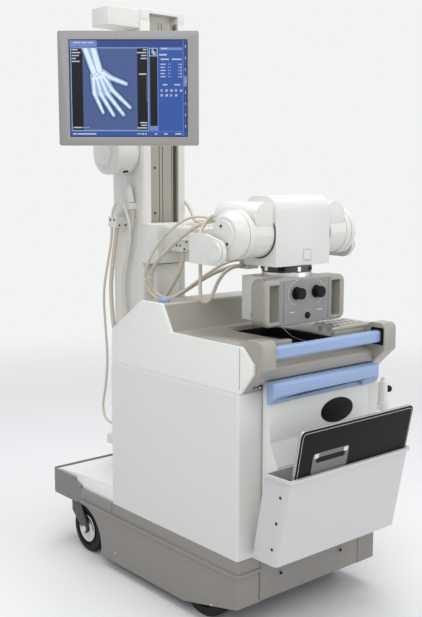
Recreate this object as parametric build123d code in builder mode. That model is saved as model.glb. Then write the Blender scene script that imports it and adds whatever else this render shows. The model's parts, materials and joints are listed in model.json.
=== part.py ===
from build123d import *
import math
import os

os.makedirs("parts", exist_ok=True)

# A mobile x-ray machine for hospital wards, in millimetres.
# Lengths run from the handle side (0) to the column side, heights from the floor,
# and widths to both sides of the centre plane.

# Base and wheels
base_width = 640
base_length = 1085
skirt_length = 880
skirt_wall = 6
skirt_bottom = 35
skirt_top = 253
skirt_corner = 12
skirt_rise_length = 265
skirt_rise_height = 102
bead_height = 205
bead_size = 12
bead_proud = 7
frame_bottom = 208
frame_plate = 12
frame_inset = 20
frame_beam_inner = 90
frame_beam_outer = 130
frame_beam_depth = 40
wheel_clearance = 8
caster_boss = 4
bumper_bottom = 190
bumper_top = 286
bumper_step = 13
bumper_step_at = 921
bumper_wall = 8
deck_near_height = 320
deck_far_height = 292
deck_inset = 10
kick_bolt_side_at = 138
kick_bolt_height = 172
kick_bolt_radius = 9

caster_radius = 90
caster_width = 40
caster_axle_length_at = 885
caster_pivot_length_at = 930
caster_side_inset = 48
arch_clearance = 44
arch_end_height = 192
caster_fork_plate = 6
caster_fork_gap = 4
caster_crown_radius = 34
caster_crown_height = 12
caster_bridge_bottom = 185
caster_stem_radius = 12
caster_axle_radius = 8

drive_radius = 125
drive_width = 60
drive_length_at = 205
drive_side_inset = 58
drive_axle_radius = 15
motor_radius = 52
motor_length = 150
axle_bracket_plate = 12

# Cabinet
cabinet_length = 669
cabinet_top = 770
cabinet_wall = 4
cabinet_corner = 10
shell_bevel_height = 12
battery_width = 430
battery_near = 250
battery_far = 600
battery_height = 260
cassette_depth = 130
cassette_lid_drop = 130
cheek_inset = 6
cheek_thickness = 12
console_height = 912
hump_near_foot = 330
hump_near_top = 379
hump_far_top = 489
hump_height = 1001
hump_far_foot = 663
hump_far_height = 886
nose_reach = 56
nose_top = 865
nose_bottom = 838
well_width = 196
well_near = -2
well_far = 300
well_depth = 50
keypad_left = 100
keypad_right = 294
keypad_near = 6
keypad_far = 140
keypad_rise = 13
keypad_bevel = 12
console_knob_radius = 20
console_knob_side_at = -270
console_knob_length_at = 420
console_knob_slot = 6

# Handles
bracket_inner = 243
bracket_top = 935
bracket_front_reach = 82
bracket_front_bottom = 848
bar_near = 66
bar_far = 38
bar_bottom = 872
bar_top = 910
bar_socket = 6
lip_bottom = 807
lip_top = 843
lip_reach = 35

# Tilting cassette door with its storage bin
door_width = 448
door_bottom = 262
door_top = 800
door_reach = 35
door_depth = 30
door_bulge_reach = 71
door_bulge_top = 546
door_bulge_start = 613
door_hinge_reach = 20
door_hinge_height = 270
door_hinge_radius = 4
hinge_lug_side_at = 190
hinge_lug_width = 12
door_opening_margin = 6
handle_width = 476
handle_top = 803
handle_bottom = 736
handle_reach = 76
oval_length = 148
oval_height = 79
oval_side_at = 73
oval_centre_height = 670
bin_width = 546
bin_wall = 4
bin_top = 540
bin_bottom = 262
bin_reach_top = 172
bin_reach_bottom = 118
bin_rim = 7
bin_rim_height = 9
handle_bevel = 12
detector_width = 510
detector_height = 424
detector_thickness = 15
detector_corner = 18
detector_side_at = 6

# Accessory clamp on the right side
clamp_side_reach = 31
clamp_length_at = 8
clamp_radius = 16.5
clamp_bottom = 617
clamp_top = 714
clamp_knob_reach = 70

# Column
column_length_at = 867
column_half_width = 100
column_near = 770
column_far = 965
column_bottom = 332
column_height = 2000
column_wall = 5
rail_left = -62
rail_right = 66
rail_recess = 5
slot_left = 44
slot_right = 61
slot_depth = 40
rail_groove_sides = (-20, -5, 38)
rail_groove_width = 3
rail_groove_depth = 8
turret_radius = 146
turret_clearance = 3
drum_height_at = 1497
drum_radius = 82
drum_length = 100
drum_cap_radius = 50
cap_box_reach = 134
cap_box_top = 1995
cap_box_height = 63
running_gap = 0.3

# Carriage and telescopic arm
carriage_near = 700
carriage_half_width = 110
carriage_bottom = 1095
carriage_top = 1240
arm_half_width = 58
arm_height = 88
arm_wall = 5
arm_outer_near = 330
arm_inner_far = 690

# Yoke
roll_height = 1186
yoke_near = 231
yoke_far = 261
yoke_bottom = 1140
yoke_bar_top = 1170
yoke_plate_top = 1233
yoke_inner = 280
yoke_plate = 12
yoke_hub_radius = 48
roll_shaft_radius = 20
tilt_length_at = 140
tilt_height = 1180
tilt_pin_radius = 14
tilt_boss_radius = 42

# Tube head
tube_length_at = 128
tube_height = 1230
tube_radius = 76
tube_end = 265
cover_half_width = 120
cover_near = 52
cover_far = 195
cover_bottom = 1130
cover_top = 1348
horn_side_at = 153
horn_height_at = 1283
horn_radius = 46
horn_near = 61
horn_far = 250
horn_boot_length = 34

# Collimator
beam_length_at = 126
ring_radius = 79
ring_split = 1108
bezel_half_width = 181
bezel_near = 37
bezel_far = 97
bezel_bottom = 947
bezel_top = 1094
bezel_corner = 25
grip_inner = 118
grip_outer = 158
grip_bottom = 962
grip_top = 1076
collimator_half_width = 112
collimator_far = 216
collimator_bottom = 952
dial_side_at = 44
dial_height_at = 1046
dial_radius = 18

# Monitor
screen_side_at = -335
screen_length_at = 516
screen_height_at = 1687
screen_turn = -40
monitor_width = 451
monitor_height = 360
monitor_depth = 52
screen_width = 378
screen_height = 304
monitor_elbow_side_at = -205
monitor_elbow_length_at = 865
monitor_hub_gap = 95
monitor_knuckle_radius = 24

# Cables, and what they leave and enter
thick_cable = 16
loop_cable = 14
thin_cable = 9
head_cable = 12
arm_clip_near = 285
arm_clip_far = 325
arm_clip_top = 1254
arm_clip_bottom = 1102
yoke_clip_side_at = 217
yoke_clip_half = 14
yoke_clip_far = 306
yoke_clip_top = 1158
yoke_cable_length_at = 298
arm_clip_half = 25
cable_clamp_side_at = -78
cable_clamp_half = 20
cable_clamp_length_at = 562
cable_clamp_bottom = 1148
cable_clamp_top = 1190
entry_outer = 172
entry_lengths = (824, 920)
entry_top = 430
entry_height = 35
drum_bracket_outer = 130
drum_bracket_lengths = (806, 832)
drum_bracket_heights = (1290, 1314)
column_clamp_outer = 160
column_clamp_lengths = (856, 906)
column_clamp_heights = (1222, 1262)
carriage_box_outer = 130
carriage_box_lengths = (858, 888)
carriage_box_heights = (1312, 1344)
carriage_clip_sides = (12, 52)
carriage_clip_lengths = (545, 585)
carriage_clip_height = 26
top_clip_sides = (-50, -8)
gland_radius = 14
supply_gland_radius = 10
supply_gland_length = 22
front_gland_side_at = -82
front_gland_height = 922
front_gland_length = 18

# The storage frame stands at the middle of the machine's outline, on the floor.
half_width = base_width / 2
turn = math.radians(-screen_turn)
left_reach = -screen_side_at + monitor_width / 2 * math.cos(turn)
right_reach = half_width + clamp_knob_reach
mid_side = (left_reach - right_reach) / 2
mid_length = (bin_reach_top + bin_rim - base_length) / 2

floor = Plane(origin=(mid_side, mid_length, 0))
side = Plane(origin=floor.origin, x_dir=(0, 1, 0), z_dir=(1, 0, 0))
face = Plane(origin=floor.origin, x_dir=(1, 0, 0), z_dir=(0, -1, 0))

caster_side_at = half_width - caster_side_inset
drive_side_at = half_width - drive_side_inset
clamp_side_at = half_width + clamp_side_reach
clamp_knob_at = half_width + clamp_knob_reach
cheek_outer = half_width - cheek_inset
cheek_inner = cheek_outer - cheek_thickness
well_floor = console_height - well_depth
keypad_height = console_height + keypad_rise


def level(height):
    return floor.offset(height)


def across(sideways):
    return side.offset(sideways)


def facing(lengthways):
    return face.offset(-lengthways)


def keep(piece, label):
    piece.part.label = label
    export_step(piece.part, f"parts/{label}.step")


def block(sides, lengths, heights, mode=Mode.ADD):
    middle = tuple((low + high) / 2 for low, high in (sides, lengths, heights))
    with Locations(middle):
        Box(sides[1] - sides[0], lengths[1] - lengths[0], heights[1] - heights[0], mode=mode)


def rod(centre, radius, length, along="Z", mode=Mode.ADD):
    turns = {"X": (0, 90, 0), "Y": (90, 0, 0), "Z": (0, 0, 0)}
    with Locations(centre):
        Cylinder(radius, length, rotation=turns[along], mode=mode)


def outline(points, mode=Mode.ADD):
    Polygon(*points, align=None, mode=mode)


def plan(near, far, reach, radius):
    # A plan outline of the base, with both corners of the handle side rounded.
    outline([(-reach, near), (reach, near), (reach, far), (-reach, far)])
    fillet(vertices().group_by(Axis.Y)[0], radius)


def corner_radii(points):
    # Each bend is as wide as its two runs allow.
    corners = []
    for before, corner, after in zip(points, points[1:], points[2:]):
        run_in = Vector(corner) - Vector(before)
        run_out = Vector(after) - Vector(corner)
        half_turn = math.radians(run_in.get_angle(run_out) / 2)
        corners.append(0.45 * min(run_in.length, run_out.length) / math.tan(half_turn))
    return corners


def cable(name, diameter, points):
    radii = corner_radii(points)
    with BuildLine() as route:
        FilletPolyline(*[floor.from_local_coords(point) for point in points], radius=radii)
    path = route.wire()
    with BuildSketch(Plane(origin=path @ 0, z_dir=path % 0)) as section:
        Circle(diameter / 2)
    tube = sweep(section.sketch, path=path)
    share = tube.volume / (math.pi * diameter**2 / 4 * path.length)
    print(f"{name}: {path.length:.0f} mm long, {share:.3f} of section times length,",
          "bends", [round(radius) for radius in radii])


# Skirt: a tub without a floor, cut up towards the handle side and open round the casters
with BuildPart(floor) as base_skirt:
    with BuildSketch(level(skirt_bottom)):
        plan(0, skirt_length, half_width, skirt_corner)
    extrude(amount=skirt_top - skirt_bottom)
    with BuildSketch(level(0)):
        plan(skirt_wall, skirt_length + 1, half_width - skirt_wall, skirt_corner - skirt_wall)
    extrude(amount=skirt_top + 1, mode=Mode.SUBTRACT)
    with BuildSketch(across(-half_width - 10)):
        outline([(-10, 0), (skirt_rise_length, 0), (skirt_rise_length, skirt_bottom), (-10, skirt_rise_height)])
    extrude(amount=base_width + 20, mode=Mode.SUBTRACT)
    arch_near = caster_axle_length_at - caster_radius - arch_clearance
    with BuildSketch(across(-half_width - 10)):
        with BuildLine():
            ThreePointArc((arch_near, skirt_bottom), (arch_near + 23, arch_end_height - 47),
                          (skirt_length, arch_end_height))
            Polyline((skirt_length, arch_end_height), (skirt_length + 10, arch_end_height),
                     (skirt_length + 10, 0), (arch_near, 0), (arch_near, skirt_bottom))
        make_face()
    extrude(amount=base_width + 20, mode=Mode.SUBTRACT)
    block((-226, 226), (-6, 3), (0, skirt_top + 1), Mode.SUBTRACT)
keep(base_skirt, "base_skirt")

with BuildPart(floor) as bead_moulding:
    with BuildSketch(level(bead_height - bead_size / 2)):
        plan(-bead_proud, skirt_length, half_width + bead_proud, skirt_corner + bead_proud)
    extrude(amount=bead_size)
    fillet(edges().filter_by(Axis.Z, reverse=True).group_by(Axis.Z)[0] + edges().group_by(Axis.Z)[-1], 3)
    with BuildSketch(level(bead_height - bead_size)):
        plan(0, skirt_length + 1, half_width, skirt_corner)
    extrude(amount=bead_size * 2, mode=Mode.SUBTRACT)
    block((-226, 226), (-bead_proud - 1, 6), (0, skirt_top), Mode.SUBTRACT)
keep(bead_moulding, "bead_moulding")

with BuildPart(floor) as kick_panel:
    block((-225, 225), (-1, 2.9), (skirt_rise_height + 2, skirt_top - 2))
    for edge in (-1, 1):
        rod((edge * kick_bolt_side_at, -2, kick_bolt_height), kick_bolt_radius, 4, "Y")
keep(kick_panel, "kick_panel")

# Welded frame with the caster bosses
with BuildPart(floor) as base_frame:
    block((-300, 300), (frame_inset, base_length - frame_inset), (frame_bottom, frame_bottom + frame_plate))
    frame_top = frame_bottom + frame_plate
    for edge in (-1, 1):
        beam = sorted((edge * frame_beam_inner, edge * frame_beam_outer))
        block(beam, (drive_length_at + drive_radius + 20, column_near),
              (frame_bottom - frame_beam_depth, frame_bottom))
        rod((edge * caster_side_at, caster_pivot_length_at, frame_bottom - caster_boss / 2), 27, caster_boss)
        rod((edge * caster_side_at, caster_pivot_length_at, frame_bottom), caster_stem_radius + running_gap,
            60, mode=Mode.SUBTRACT)
        wheel_box = sorted((edge * (drive_side_at - drive_width / 2 - wheel_clearance), edge * half_width))
        block(wheel_box, (drive_length_at - drive_radius - wheel_clearance,
                          drive_length_at + drive_radius + wheel_clearance),
              (frame_bottom - 1, frame_top + 1), Mode.SUBTRACT)
keep(base_frame, "base_frame")

# Drive wheels on their geared motors
for name, edge in (("left", -1), ("right", 1)):
    inner = drive_side_at - drive_width / 2
    bracket_at = edge * (inner - 6 - axle_bracket_plate / 2)
    with BuildPart(floor) as axle_bracket:
        with BuildSketch(across(bracket_at - axle_bracket_plate / 2)):
            outline([(drive_length_at - 90, frame_bottom), (drive_length_at + 90, frame_bottom),
                     (drive_length_at + 40, drive_radius - 50), (drive_length_at - 40, drive_radius - 50)])
        extrude(amount=axle_bracket_plate)
        rod((edge * (inner - 18 - motor_length / 2), drive_length_at, drive_radius),
            motor_radius, motor_length, "X")
        rod((edge * (drive_side_at - 20), drive_length_at, drive_radius), drive_axle_radius,
            drive_width + 40, "X")
    keep(axle_bracket, f"drive_motor_{name}")
    with BuildPart(floor) as drive_wheel:
        with BuildSketch(across(edge * drive_side_at)):
            with Locations((drive_length_at, drive_radius)):
                Circle(drive_radius)
        extrude(amount=drive_width / 2, both=True)
        fillet(edges().filter_by(GeomType.CIRCLE), 12)
        for face_side in (-1, 1):
            rod((edge * drive_side_at + face_side * drive_width / 2, drive_length_at, drive_radius),
                drive_radius - 32, 16, "X", Mode.SUBTRACT)
        rod((edge * drive_side_at, drive_length_at, drive_radius), 34, drive_width - 6, "X")
        rod((edge * drive_side_at, drive_length_at, drive_radius), drive_axle_radius + running_gap,
            drive_width + 2, "X", Mode.SUBTRACT)
    keep(drive_wheel, f"drive_wheel_{name}")

# Casters: fork with stem, brake shoe and axle, and the wheel between the blades
blade_at = caster_width / 2 + caster_fork_gap
shoulder = caster_bridge_bottom - 1
bridge_near = caster_pivot_length_at - 19
bridge_far = caster_pivot_length_at + 17
brake_far = caster_pivot_length_at + 42
for name, edge in (("left", -1), ("right", 1)):
    centre = edge * caster_side_at
    crown_top = frame_bottom - caster_boss - running_gap
    bridge_top = crown_top - caster_crown_height + 4
    with BuildPart(floor) as caster_fork:
        rod((centre, caster_pivot_length_at, crown_top - caster_crown_height / 2), caster_crown_radius,
            caster_crown_height)
        rod((centre, caster_pivot_length_at, crown_top + 7), caster_stem_radius, 14)
        for blade in (-1, 1):
            low = centre + blade * (blade_at + caster_fork_plate / 2) - caster_fork_plate / 2
            with BuildSketch(across(low)):
                with Locations((caster_axle_length_at, caster_radius)):
                    Circle(18)
                outline([(caster_axle_length_at - 16, caster_radius + 8),
                         (caster_axle_length_at + 8, caster_radius - 16),
                         (brake_far, caster_radius + 52), (brake_far, shoulder),
                         (bridge_far, shoulder), (bridge_far, bridge_top),
                         (bridge_near, bridge_top), (bridge_near, shoulder)])
            extrude(amount=caster_fork_plate)
        block((centre - blade_at, centre + blade_at), (bridge_near, bridge_far), (bridge_top - 8, bridge_top))
        block((centre - blade_at, centre + blade_at), (brake_far - 14, brake_far),
              (caster_radius + 60, shoulder))
        rod((centre, caster_axle_length_at, caster_radius), caster_axle_radius,
            2 * (blade_at + caster_fork_plate) + 6, "X")
    keep(caster_fork, f"caster_fork_{name}")
    with BuildPart(floor) as caster_wheel:
        with BuildSketch(across(centre)):
            with Locations((caster_axle_length_at, caster_radius)):
                Circle(caster_radius)
        extrude(amount=caster_width / 2, both=True)
        fillet(edges().filter_by(GeomType.CIRCLE), 10)
        for face_side in (-1, 1):
            rod((centre + face_side * caster_width / 2, caster_axle_length_at, caster_radius),
                caster_radius - 24, 14, "X", Mode.SUBTRACT)
        rod((centre, caster_axle_length_at, caster_radius), 22, caster_width, "X")
        rod((centre, caster_axle_length_at, caster_radius), caster_axle_radius + running_gap,
            caster_width + 2, "X", Mode.SUBTRACT)
    keep(caster_wheel, f"caster_wheel_{name}")

# Bumper round the column end and the sloped deck over it
with BuildPart(floor) as end_bumper:
    with BuildSketch(across(-half_width)):
        outline([(skirt_length, bumper_bottom + 12), (skirt_length, bumper_top - bumper_step * 1.8),
                 (bumper_step_at, bumper_top - bumper_step), (bumper_step_at, bumper_top),
                 (base_length, bumper_top), (base_length, bumper_bottom), (bumper_step_at, bumper_bottom)])
    extrude(amount=base_width)
    fillet(edges().filter_by(Axis.Z).group_by(Axis.Y)[-1], 22)
    block((-half_width + bumper_wall, half_width - bumper_wall), (skirt_length - 1, base_length - bumper_wall),
          (0, bumper_top + 1), Mode.SUBTRACT)
keep(end_bumper, "end_bumper")

with BuildPart(floor) as deck_hood:
    with BuildSketch(across(-half_width + deck_inset)):
        outline([(cabinet_length + 0.5, frame_bottom + frame_plate),
                 (base_length - deck_inset, frame_bottom + frame_plate),
                 (base_length - deck_inset, deck_far_height - 12), (base_length - 58, deck_far_height),
                 (cabinet_length + 0.5, deck_near_height)])
    extrude(amount=base_width - 2 * deck_inset)
    fillet(edges().group_by(Axis.Z)[-1], 8)
    rod((0, column_length_at, deck_near_height), turret_radius + turret_clearance, 260, mode=Mode.SUBTRACT)
keep(deck_hood, "deck_hood")

with BuildPart(floor) as column_turret:
    top = column_bottom - running_gap
    rod((0, column_length_at, (frame_bottom + frame_plate + top) / 2), turret_radius - 12,
        top - frame_bottom - frame_plate)
    rod((0, column_length_at, top - 9), turret_radius, 18)
keep(column_turret, "column_turret")

# Cabinet: a folded shell with the door opening in the handle side
with BuildPart(floor) as cabinet_shell:
    with BuildSketch(level(skirt_top)):
        Rectangle(base_width, cabinet_length, align=(Align.CENTER, Align.MIN))
        fillet(vertices(), cabinet_corner)
    extrude(amount=cabinet_top - shell_bevel_height - skirt_top)
    with BuildSketch(level(cabinet_top - shell_bevel_height)):
        Rectangle(base_width, cabinet_length, align=(Align.CENTER, Align.MIN))
        fillet(vertices(), cabinet_corner)
    extrude(amount=shell_bevel_height, taper=math.degrees(math.atan2(cheek_inset, shell_bevel_height)))
    with BuildSketch(level(skirt_top)):
        with Locations((0, cabinet_wall)):
            Rectangle(base_width - 2 * cabinet_wall, cabinet_length - 2 * cabinet_wall,
                      align=(Align.CENTER, Align.MIN))
            fillet(vertices(), cabinet_corner - cabinet_wall)
    extrude(amount=cabinet_top - shell_bevel_height - skirt_top, mode=Mode.SUBTRACT)
    opening = door_width / 2 - door_opening_margin
    block((-opening, opening), (-1, cabinet_wall + 1), (door_bottom + 14, cabinet_top - 30), Mode.SUBTRACT)
keep(cabinet_shell, "cabinet_shell")

with BuildPart(floor) as battery_pack:
    block((-battery_width / 2, battery_width / 2), (battery_near, battery_far),
          (frame_bottom + frame_plate, frame_bottom + frame_plate + battery_height))
    fillet(edges().filter_by(Axis.Z), 8)
keep(battery_pack, "battery_pack")

with BuildPart(floor) as cassette_well:
    low = door_bottom + 14
    high = cabinet_top - 30
    block((-opening - 3, opening + 3), (cabinet_wall, cassette_depth), (low - 3, high + 3))
    block((-opening, opening), (cabinet_wall - 1, cassette_depth - 3), (low, high), Mode.SUBTRACT)
    block((-opening - 3, opening + 3), (60, cassette_depth + 1), (high - cassette_lid_drop, high + 4),
          Mode.SUBTRACT)
keep(cassette_well, "cassette_well")

# White cheeks on both sides of the console, with the nose that carries each handle bracket
cheek_points = [(0, cabinet_top), (cabinet_length, cabinet_top), (hump_far_foot, hump_far_height),
                (hump_far_top, hump_height), (hump_near_top, hump_height), (hump_near_foot, console_height + 2),
                (-8, console_height), (-nose_reach, nose_top), (-nose_reach, nose_bottom)]
for name, low in (("left", -cheek_outer), ("right", cheek_inner)):
    with BuildPart(floor) as side_cheek:
        with BuildSketch(across(low)):
            outline(cheek_points)
            fillet(vertices().group_by(Axis.Y)[-1], 8)
        extrude(amount=cheek_thickness)
    keep(side_cheek, f"side_cheek_{name}")

# Console between the cheeks, with the parking trough under the collimator
trough_radius = math.hypot(yoke_inner + yoke_plate, roll_height - yoke_bottom) + 7
with BuildPart(floor) as console_top:
    with BuildSketch(across(-cheek_inner)):
        outline([(0, cabinet_top), (cabinet_length - 3, cabinet_top), (hump_far_foot - 2, hump_far_height - 2),
                 (hump_far_top, hump_height - 1), (hump_near_top, hump_height - 1),
                 (hump_near_foot, console_height), (0, console_height)])
        fillet(vertices().group_by(Axis.Y)[-1], 14)
    extrude(amount=2 * cheek_inner)
    rod((0, 145, roll_height), trough_radius, 250, "Y", Mode.SUBTRACT)
    block((-well_width / 2, well_width / 2), (well_near, well_far), (well_floor, console_height + 1),
          Mode.SUBTRACT)
keep(console_top, "console_top")

with BuildPart(floor) as well_liner:
    block((-well_width / 2, well_width / 2), (well_near + 2, well_far), (well_floor, console_height - 16))
    block((-well_width / 2 + 3, well_width / 2 - 3), (well_near, well_far - 3),
          (well_floor + 3, console_height), Mode.SUBTRACT)
keep(well_liner, "well_liner")

with BuildPart(floor) as keypad_box:
    with BuildSketch(level(console_height)):
        outline([(keypad_left + keypad_bevel, keypad_near), (keypad_right, keypad_near),
                 (keypad_right, keypad_far), (keypad_left, keypad_far),
                 (keypad_left, keypad_near + keypad_bevel)])
    extrude(amount=keypad_rise)
    chamfer(edges().group_by(Axis.Z)[-1], 5)
    rod((0, 145, roll_height), trough_radius, 250, "Y", Mode.SUBTRACT)
keep(keypad_box, "keypad_box")

with BuildPart(floor) as console_knob:
    rod((console_knob_side_at, console_knob_length_at, hump_height + 5), console_knob_radius, 12)
    chamfer(edges().group_by(Axis.Z)[-1], 2)
    block((console_knob_side_at - 30, console_knob_side_at + 30),
          (console_knob_length_at - console_knob_slot / 2, console_knob_length_at + console_knob_slot / 2),
          (hump_height + 7, hump_height + 20), Mode.SUBTRACT)
keep(console_knob, "console_knob")

# Handle brackets, drive bar and the lip below it
for name, edge in (("left", -1), ("right", 1)):
    low, high = sorted((edge * bracket_inner, edge * cheek_inner))
    with BuildPart(floor) as handle_bracket:
        with BuildSketch(across(low)):
            outline([(-0.4, cabinet_top + 2), (-0.4, console_height + 4), (-16, bracket_top - 2),
                     (-24, bracket_top), (-bracket_front_reach + 14, bracket_top),
                     (-bracket_front_reach + 4, bracket_top - 8),
                     (-bracket_front_reach, bracket_top - 20), (-bracket_front_reach, bracket_front_bottom)])
        extrude(amount=high - low)
        inner_face = edge * bracket_inner
        socket = sorted((inner_face - edge, inner_face + edge * bar_socket))
        block(socket, (-bar_near - 3, -bar_far + 3), (bar_bottom - 3, bar_top + 3), Mode.SUBTRACT)
    keep(handle_bracket, f"handle_bracket_{name}")

with BuildPart(floor) as drive_bar:
    reach = bracket_inner + bar_socket
    block((-reach, reach), (-bar_near, -bar_far), (bar_bottom, bar_top))
    chamfer(edges().filter_by(Axis.X), 5)
keep(drive_bar, "drive_bar")

with BuildPart(floor) as console_lip:
    with BuildSketch(across(-bracket_inner + 0.3)):
        outline([(-0.4, lip_bottom), (-lip_reach, lip_bottom), (-lip_reach, lip_top - 4),
                 (-lip_reach + 4, lip_top), (-0.4, lip_top + 6)])
    extrude(amount=2 * bracket_inner - 0.6)
keep(console_lip, "console_lip")

# Cassette door, hinged at its foot
door_half = door_width / 2
door_back = door_depth - door_reach
bin_slope = math.atan2(bin_reach_top - bin_reach_bottom, bin_top - bin_bottom)


def bulge_at(height):
    # How far out the slanting face of the door's bulge lies, which carries the bin.
    return -door_bulge_reach + (door_bulge_top - height) * math.tan(bin_slope)


bulge_foot = door_bulge_top - (door_bulge_reach - door_reach) / math.tan(bin_slope)
with BuildPart(floor) as door_panel:
    with BuildSketch(across(-door_half)):
        outline([(door_back, door_bottom), (-door_reach, door_bottom), (-door_reach, bulge_foot),
                 (-door_bulge_reach, door_bulge_top), (-door_reach, door_bulge_start),
                 (-door_reach, door_top), (door_back, door_top)])
    extrude(amount=door_width)
    for lug in (-hinge_lug_side_at, hinge_lug_side_at):
        block((lug - hinge_lug_width / 2 - 2, lug + hinge_lug_width / 2 + 2),
              (-door_hinge_reach - 12, door_back + 1), (door_bottom - 1, door_hinge_height + 14), Mode.SUBTRACT)
        rod((lug, -door_hinge_reach, door_hinge_height), door_hinge_radius, hinge_lug_width + 6, "X")
keep(door_panel, "door_panel")

with BuildPart(floor) as door_hinge_lugs:
    for lug in (-hinge_lug_side_at, hinge_lug_side_at):
        low = lug - hinge_lug_width / 2
        with BuildSketch(across(low)):
            outline([(0, door_hinge_height - 8), (-door_hinge_reach, door_hinge_height - 8),
                     (-door_hinge_reach - 7, door_hinge_height), (-door_hinge_reach, door_hinge_height + 8),
                     (0, door_hinge_height + 8)])
        extrude(amount=hinge_lug_width)
    for lug in (-hinge_lug_side_at, hinge_lug_side_at):
        rod((lug, -door_hinge_reach, door_hinge_height), door_hinge_radius + running_gap,
            hinge_lug_width + 2, "X", Mode.SUBTRACT)
keep(door_hinge_lugs, "door_hinge_lugs")

with BuildPart(floor) as door_handle:
    with BuildSketch(across(-handle_width / 2)):
        outline([(-door_reach, handle_top), (-handle_reach + 10, handle_top),
                 (-handle_reach + 2, handle_top - 6), (-handle_reach, handle_bottom + 28),
                 (-door_reach - 14, handle_bottom), (-door_reach, handle_bottom)])
    extrude(amount=handle_width)
    with BuildSketch(facing(-handle_reach - 1)):
        outline([(-150, handle_bottom - 1), (-122, handle_bottom + 26), (150, handle_bottom + 26),
                 (178, handle_bottom - 1)])
    extrude(amount=-(handle_reach - door_reach - 9), mode=Mode.SUBTRACT)
    with BuildSketch(level(handle_bottom - 1)):
        for edge in (-1, 1):
            handle_end = edge * handle_width / 2
            outline([(handle_end, -handle_reach), (handle_end - edge * handle_bevel, -handle_reach),
                     (handle_end, -handle_reach + handle_bevel)])
    extrude(amount=handle_top - handle_bottom + 2, mode=Mode.SUBTRACT)
keep(door_handle, "door_handle")

with BuildPart(floor) as oval_plate:
    with BuildSketch(facing(-door_reach)):
        with Locations((oval_side_at, oval_centre_height)):
            Ellipse(oval_length / 2, oval_height / 2)
    extrude(amount=2.5)
keep(oval_plate, "oval_plate")

# Storage bin: open at the top, with a rolled rim, hung on the slanting bulge of the door
bin_half = bin_width / 2
bin_back_top = bulge_at(bin_top) - running_gap
bin_back_bottom = bulge_at(bin_bottom) - running_gap
slant_wall = bin_wall / math.cos(bin_slope)
inner_floor = bin_bottom + bin_wall
inner_back = -door_reach - running_gap - bin_wall
inner_back_foot = bin_top - (inner_back - bin_back_top + slant_wall) / math.tan(bin_slope)
lean = math.tan(bin_slope)
with BuildPart(floor) as storage_bin:
    with BuildSketch(across(-bin_half)):
        outline([(bin_back_bottom, bin_bottom), (-bin_reach_bottom, bin_bottom), (-bin_reach_top, bin_top),
                 (bin_back_top, bin_top)])
    extrude(amount=bin_width)
    fillet(edges().filter_by(lambda edge: abs(edge.tangent_at(0).Z) > 0.9).group_by(Axis.Y)[0], 16)
    rim_half = bin_half + bin_rim
    rim_front = -bin_reach_top - bin_rim
    with BuildSketch(level(bin_top - bin_rim_height)):
        outline([(-rim_half, bin_back_top), (rim_half, bin_back_top), (rim_half, rim_front),
                 (-rim_half, rim_front)])
        fillet(vertices().group_by(Axis.Y)[0], 22)
    extrude(amount=bin_rim_height)
    block((-door_half - 2, door_half + 2), (-door_reach - running_gap, 0), (bin_bottom - 1, bulge_foot + 9),
          Mode.SUBTRACT)
    with BuildSketch(across(-bin_half + bin_wall)):
        outline([(inner_back, inner_floor), (-bin_reach_bottom - bin_wall * lean + slant_wall, inner_floor),
                 (-bin_reach_top - lean + slant_wall, bin_top + 1),
                 (bin_back_top - slant_wall - lean, bin_top + 1), (inner_back, inner_back_foot)])
    extrude(amount=bin_width - 2 * bin_wall, mode=Mode.SUBTRACT)
    for edge in (-1, 1):
        low, high = sorted((edge * (door_half + 2 + bin_wall), edge * (bin_half - bin_wall)))
        with BuildSketch(across(low)):
            outline([(inner_back - 1, inner_floor),
                     (bin_back_bottom - slant_wall - bin_wall * lean, inner_floor),
                     (inner_back, inner_back_foot), (inner_back - 1, inner_back_foot)])
        extrude(amount=high - low, mode=Mode.SUBTRACT)
keep(storage_bin, "storage_bin")

# Flat image detector, lying against the inside of the bin's sloping front wall
foot = (-bin_reach_bottom - bin_wall * lean + (bin_wall + running_gap) / math.cos(bin_slope),
        bin_bottom + bin_wall + running_gap + detector_thickness * math.sin(bin_slope))
leaning = Plane(origin=across(detector_side_at).from_local_coords((foot[0], foot[1], 0)),
                x_dir=(1, 0, 0), z_dir=(0, -math.cos(bin_slope), -math.sin(bin_slope)))
with BuildPart(leaning) as image_detector:
    with BuildSketch(leaning.offset(-detector_thickness)):
        with Locations((0, detector_height / 2)):
            RectangleRounded(detector_width, detector_height, detector_corner)
    extrude(amount=detector_thickness)
    chamfer(faces().sort_by(Axis.Y)[0].edges(), 3)
keep(image_detector, "image_detector")

# Accessory clamp: a bracket on the cabinet's side that holds a short post
with BuildPart(floor) as accessory_clamp:
    block((half_width, clamp_side_at), (clamp_length_at - 6, clamp_length_at + clamp_radius + 6),
          (clamp_bottom, clamp_bottom + 20))
    rod((clamp_side_at, clamp_length_at, (clamp_bottom + clamp_top) / 2), clamp_radius,
        clamp_top - clamp_bottom)
    rod((clamp_side_at, clamp_length_at, clamp_bottom + 14), clamp_radius + 7, 28)
    rod((clamp_side_at, clamp_length_at, clamp_top + 4), 9, 8)
    rod(((clamp_side_at + clamp_knob_at) / 2, clamp_length_at, clamp_top - 30), 5,
        clamp_knob_at - clamp_side_at, "X")
    rod((clamp_knob_at - 8, clamp_length_at, clamp_top - 30), 10, 16, "X")
keep(accessory_clamp, "accessory_clamp")

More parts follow.
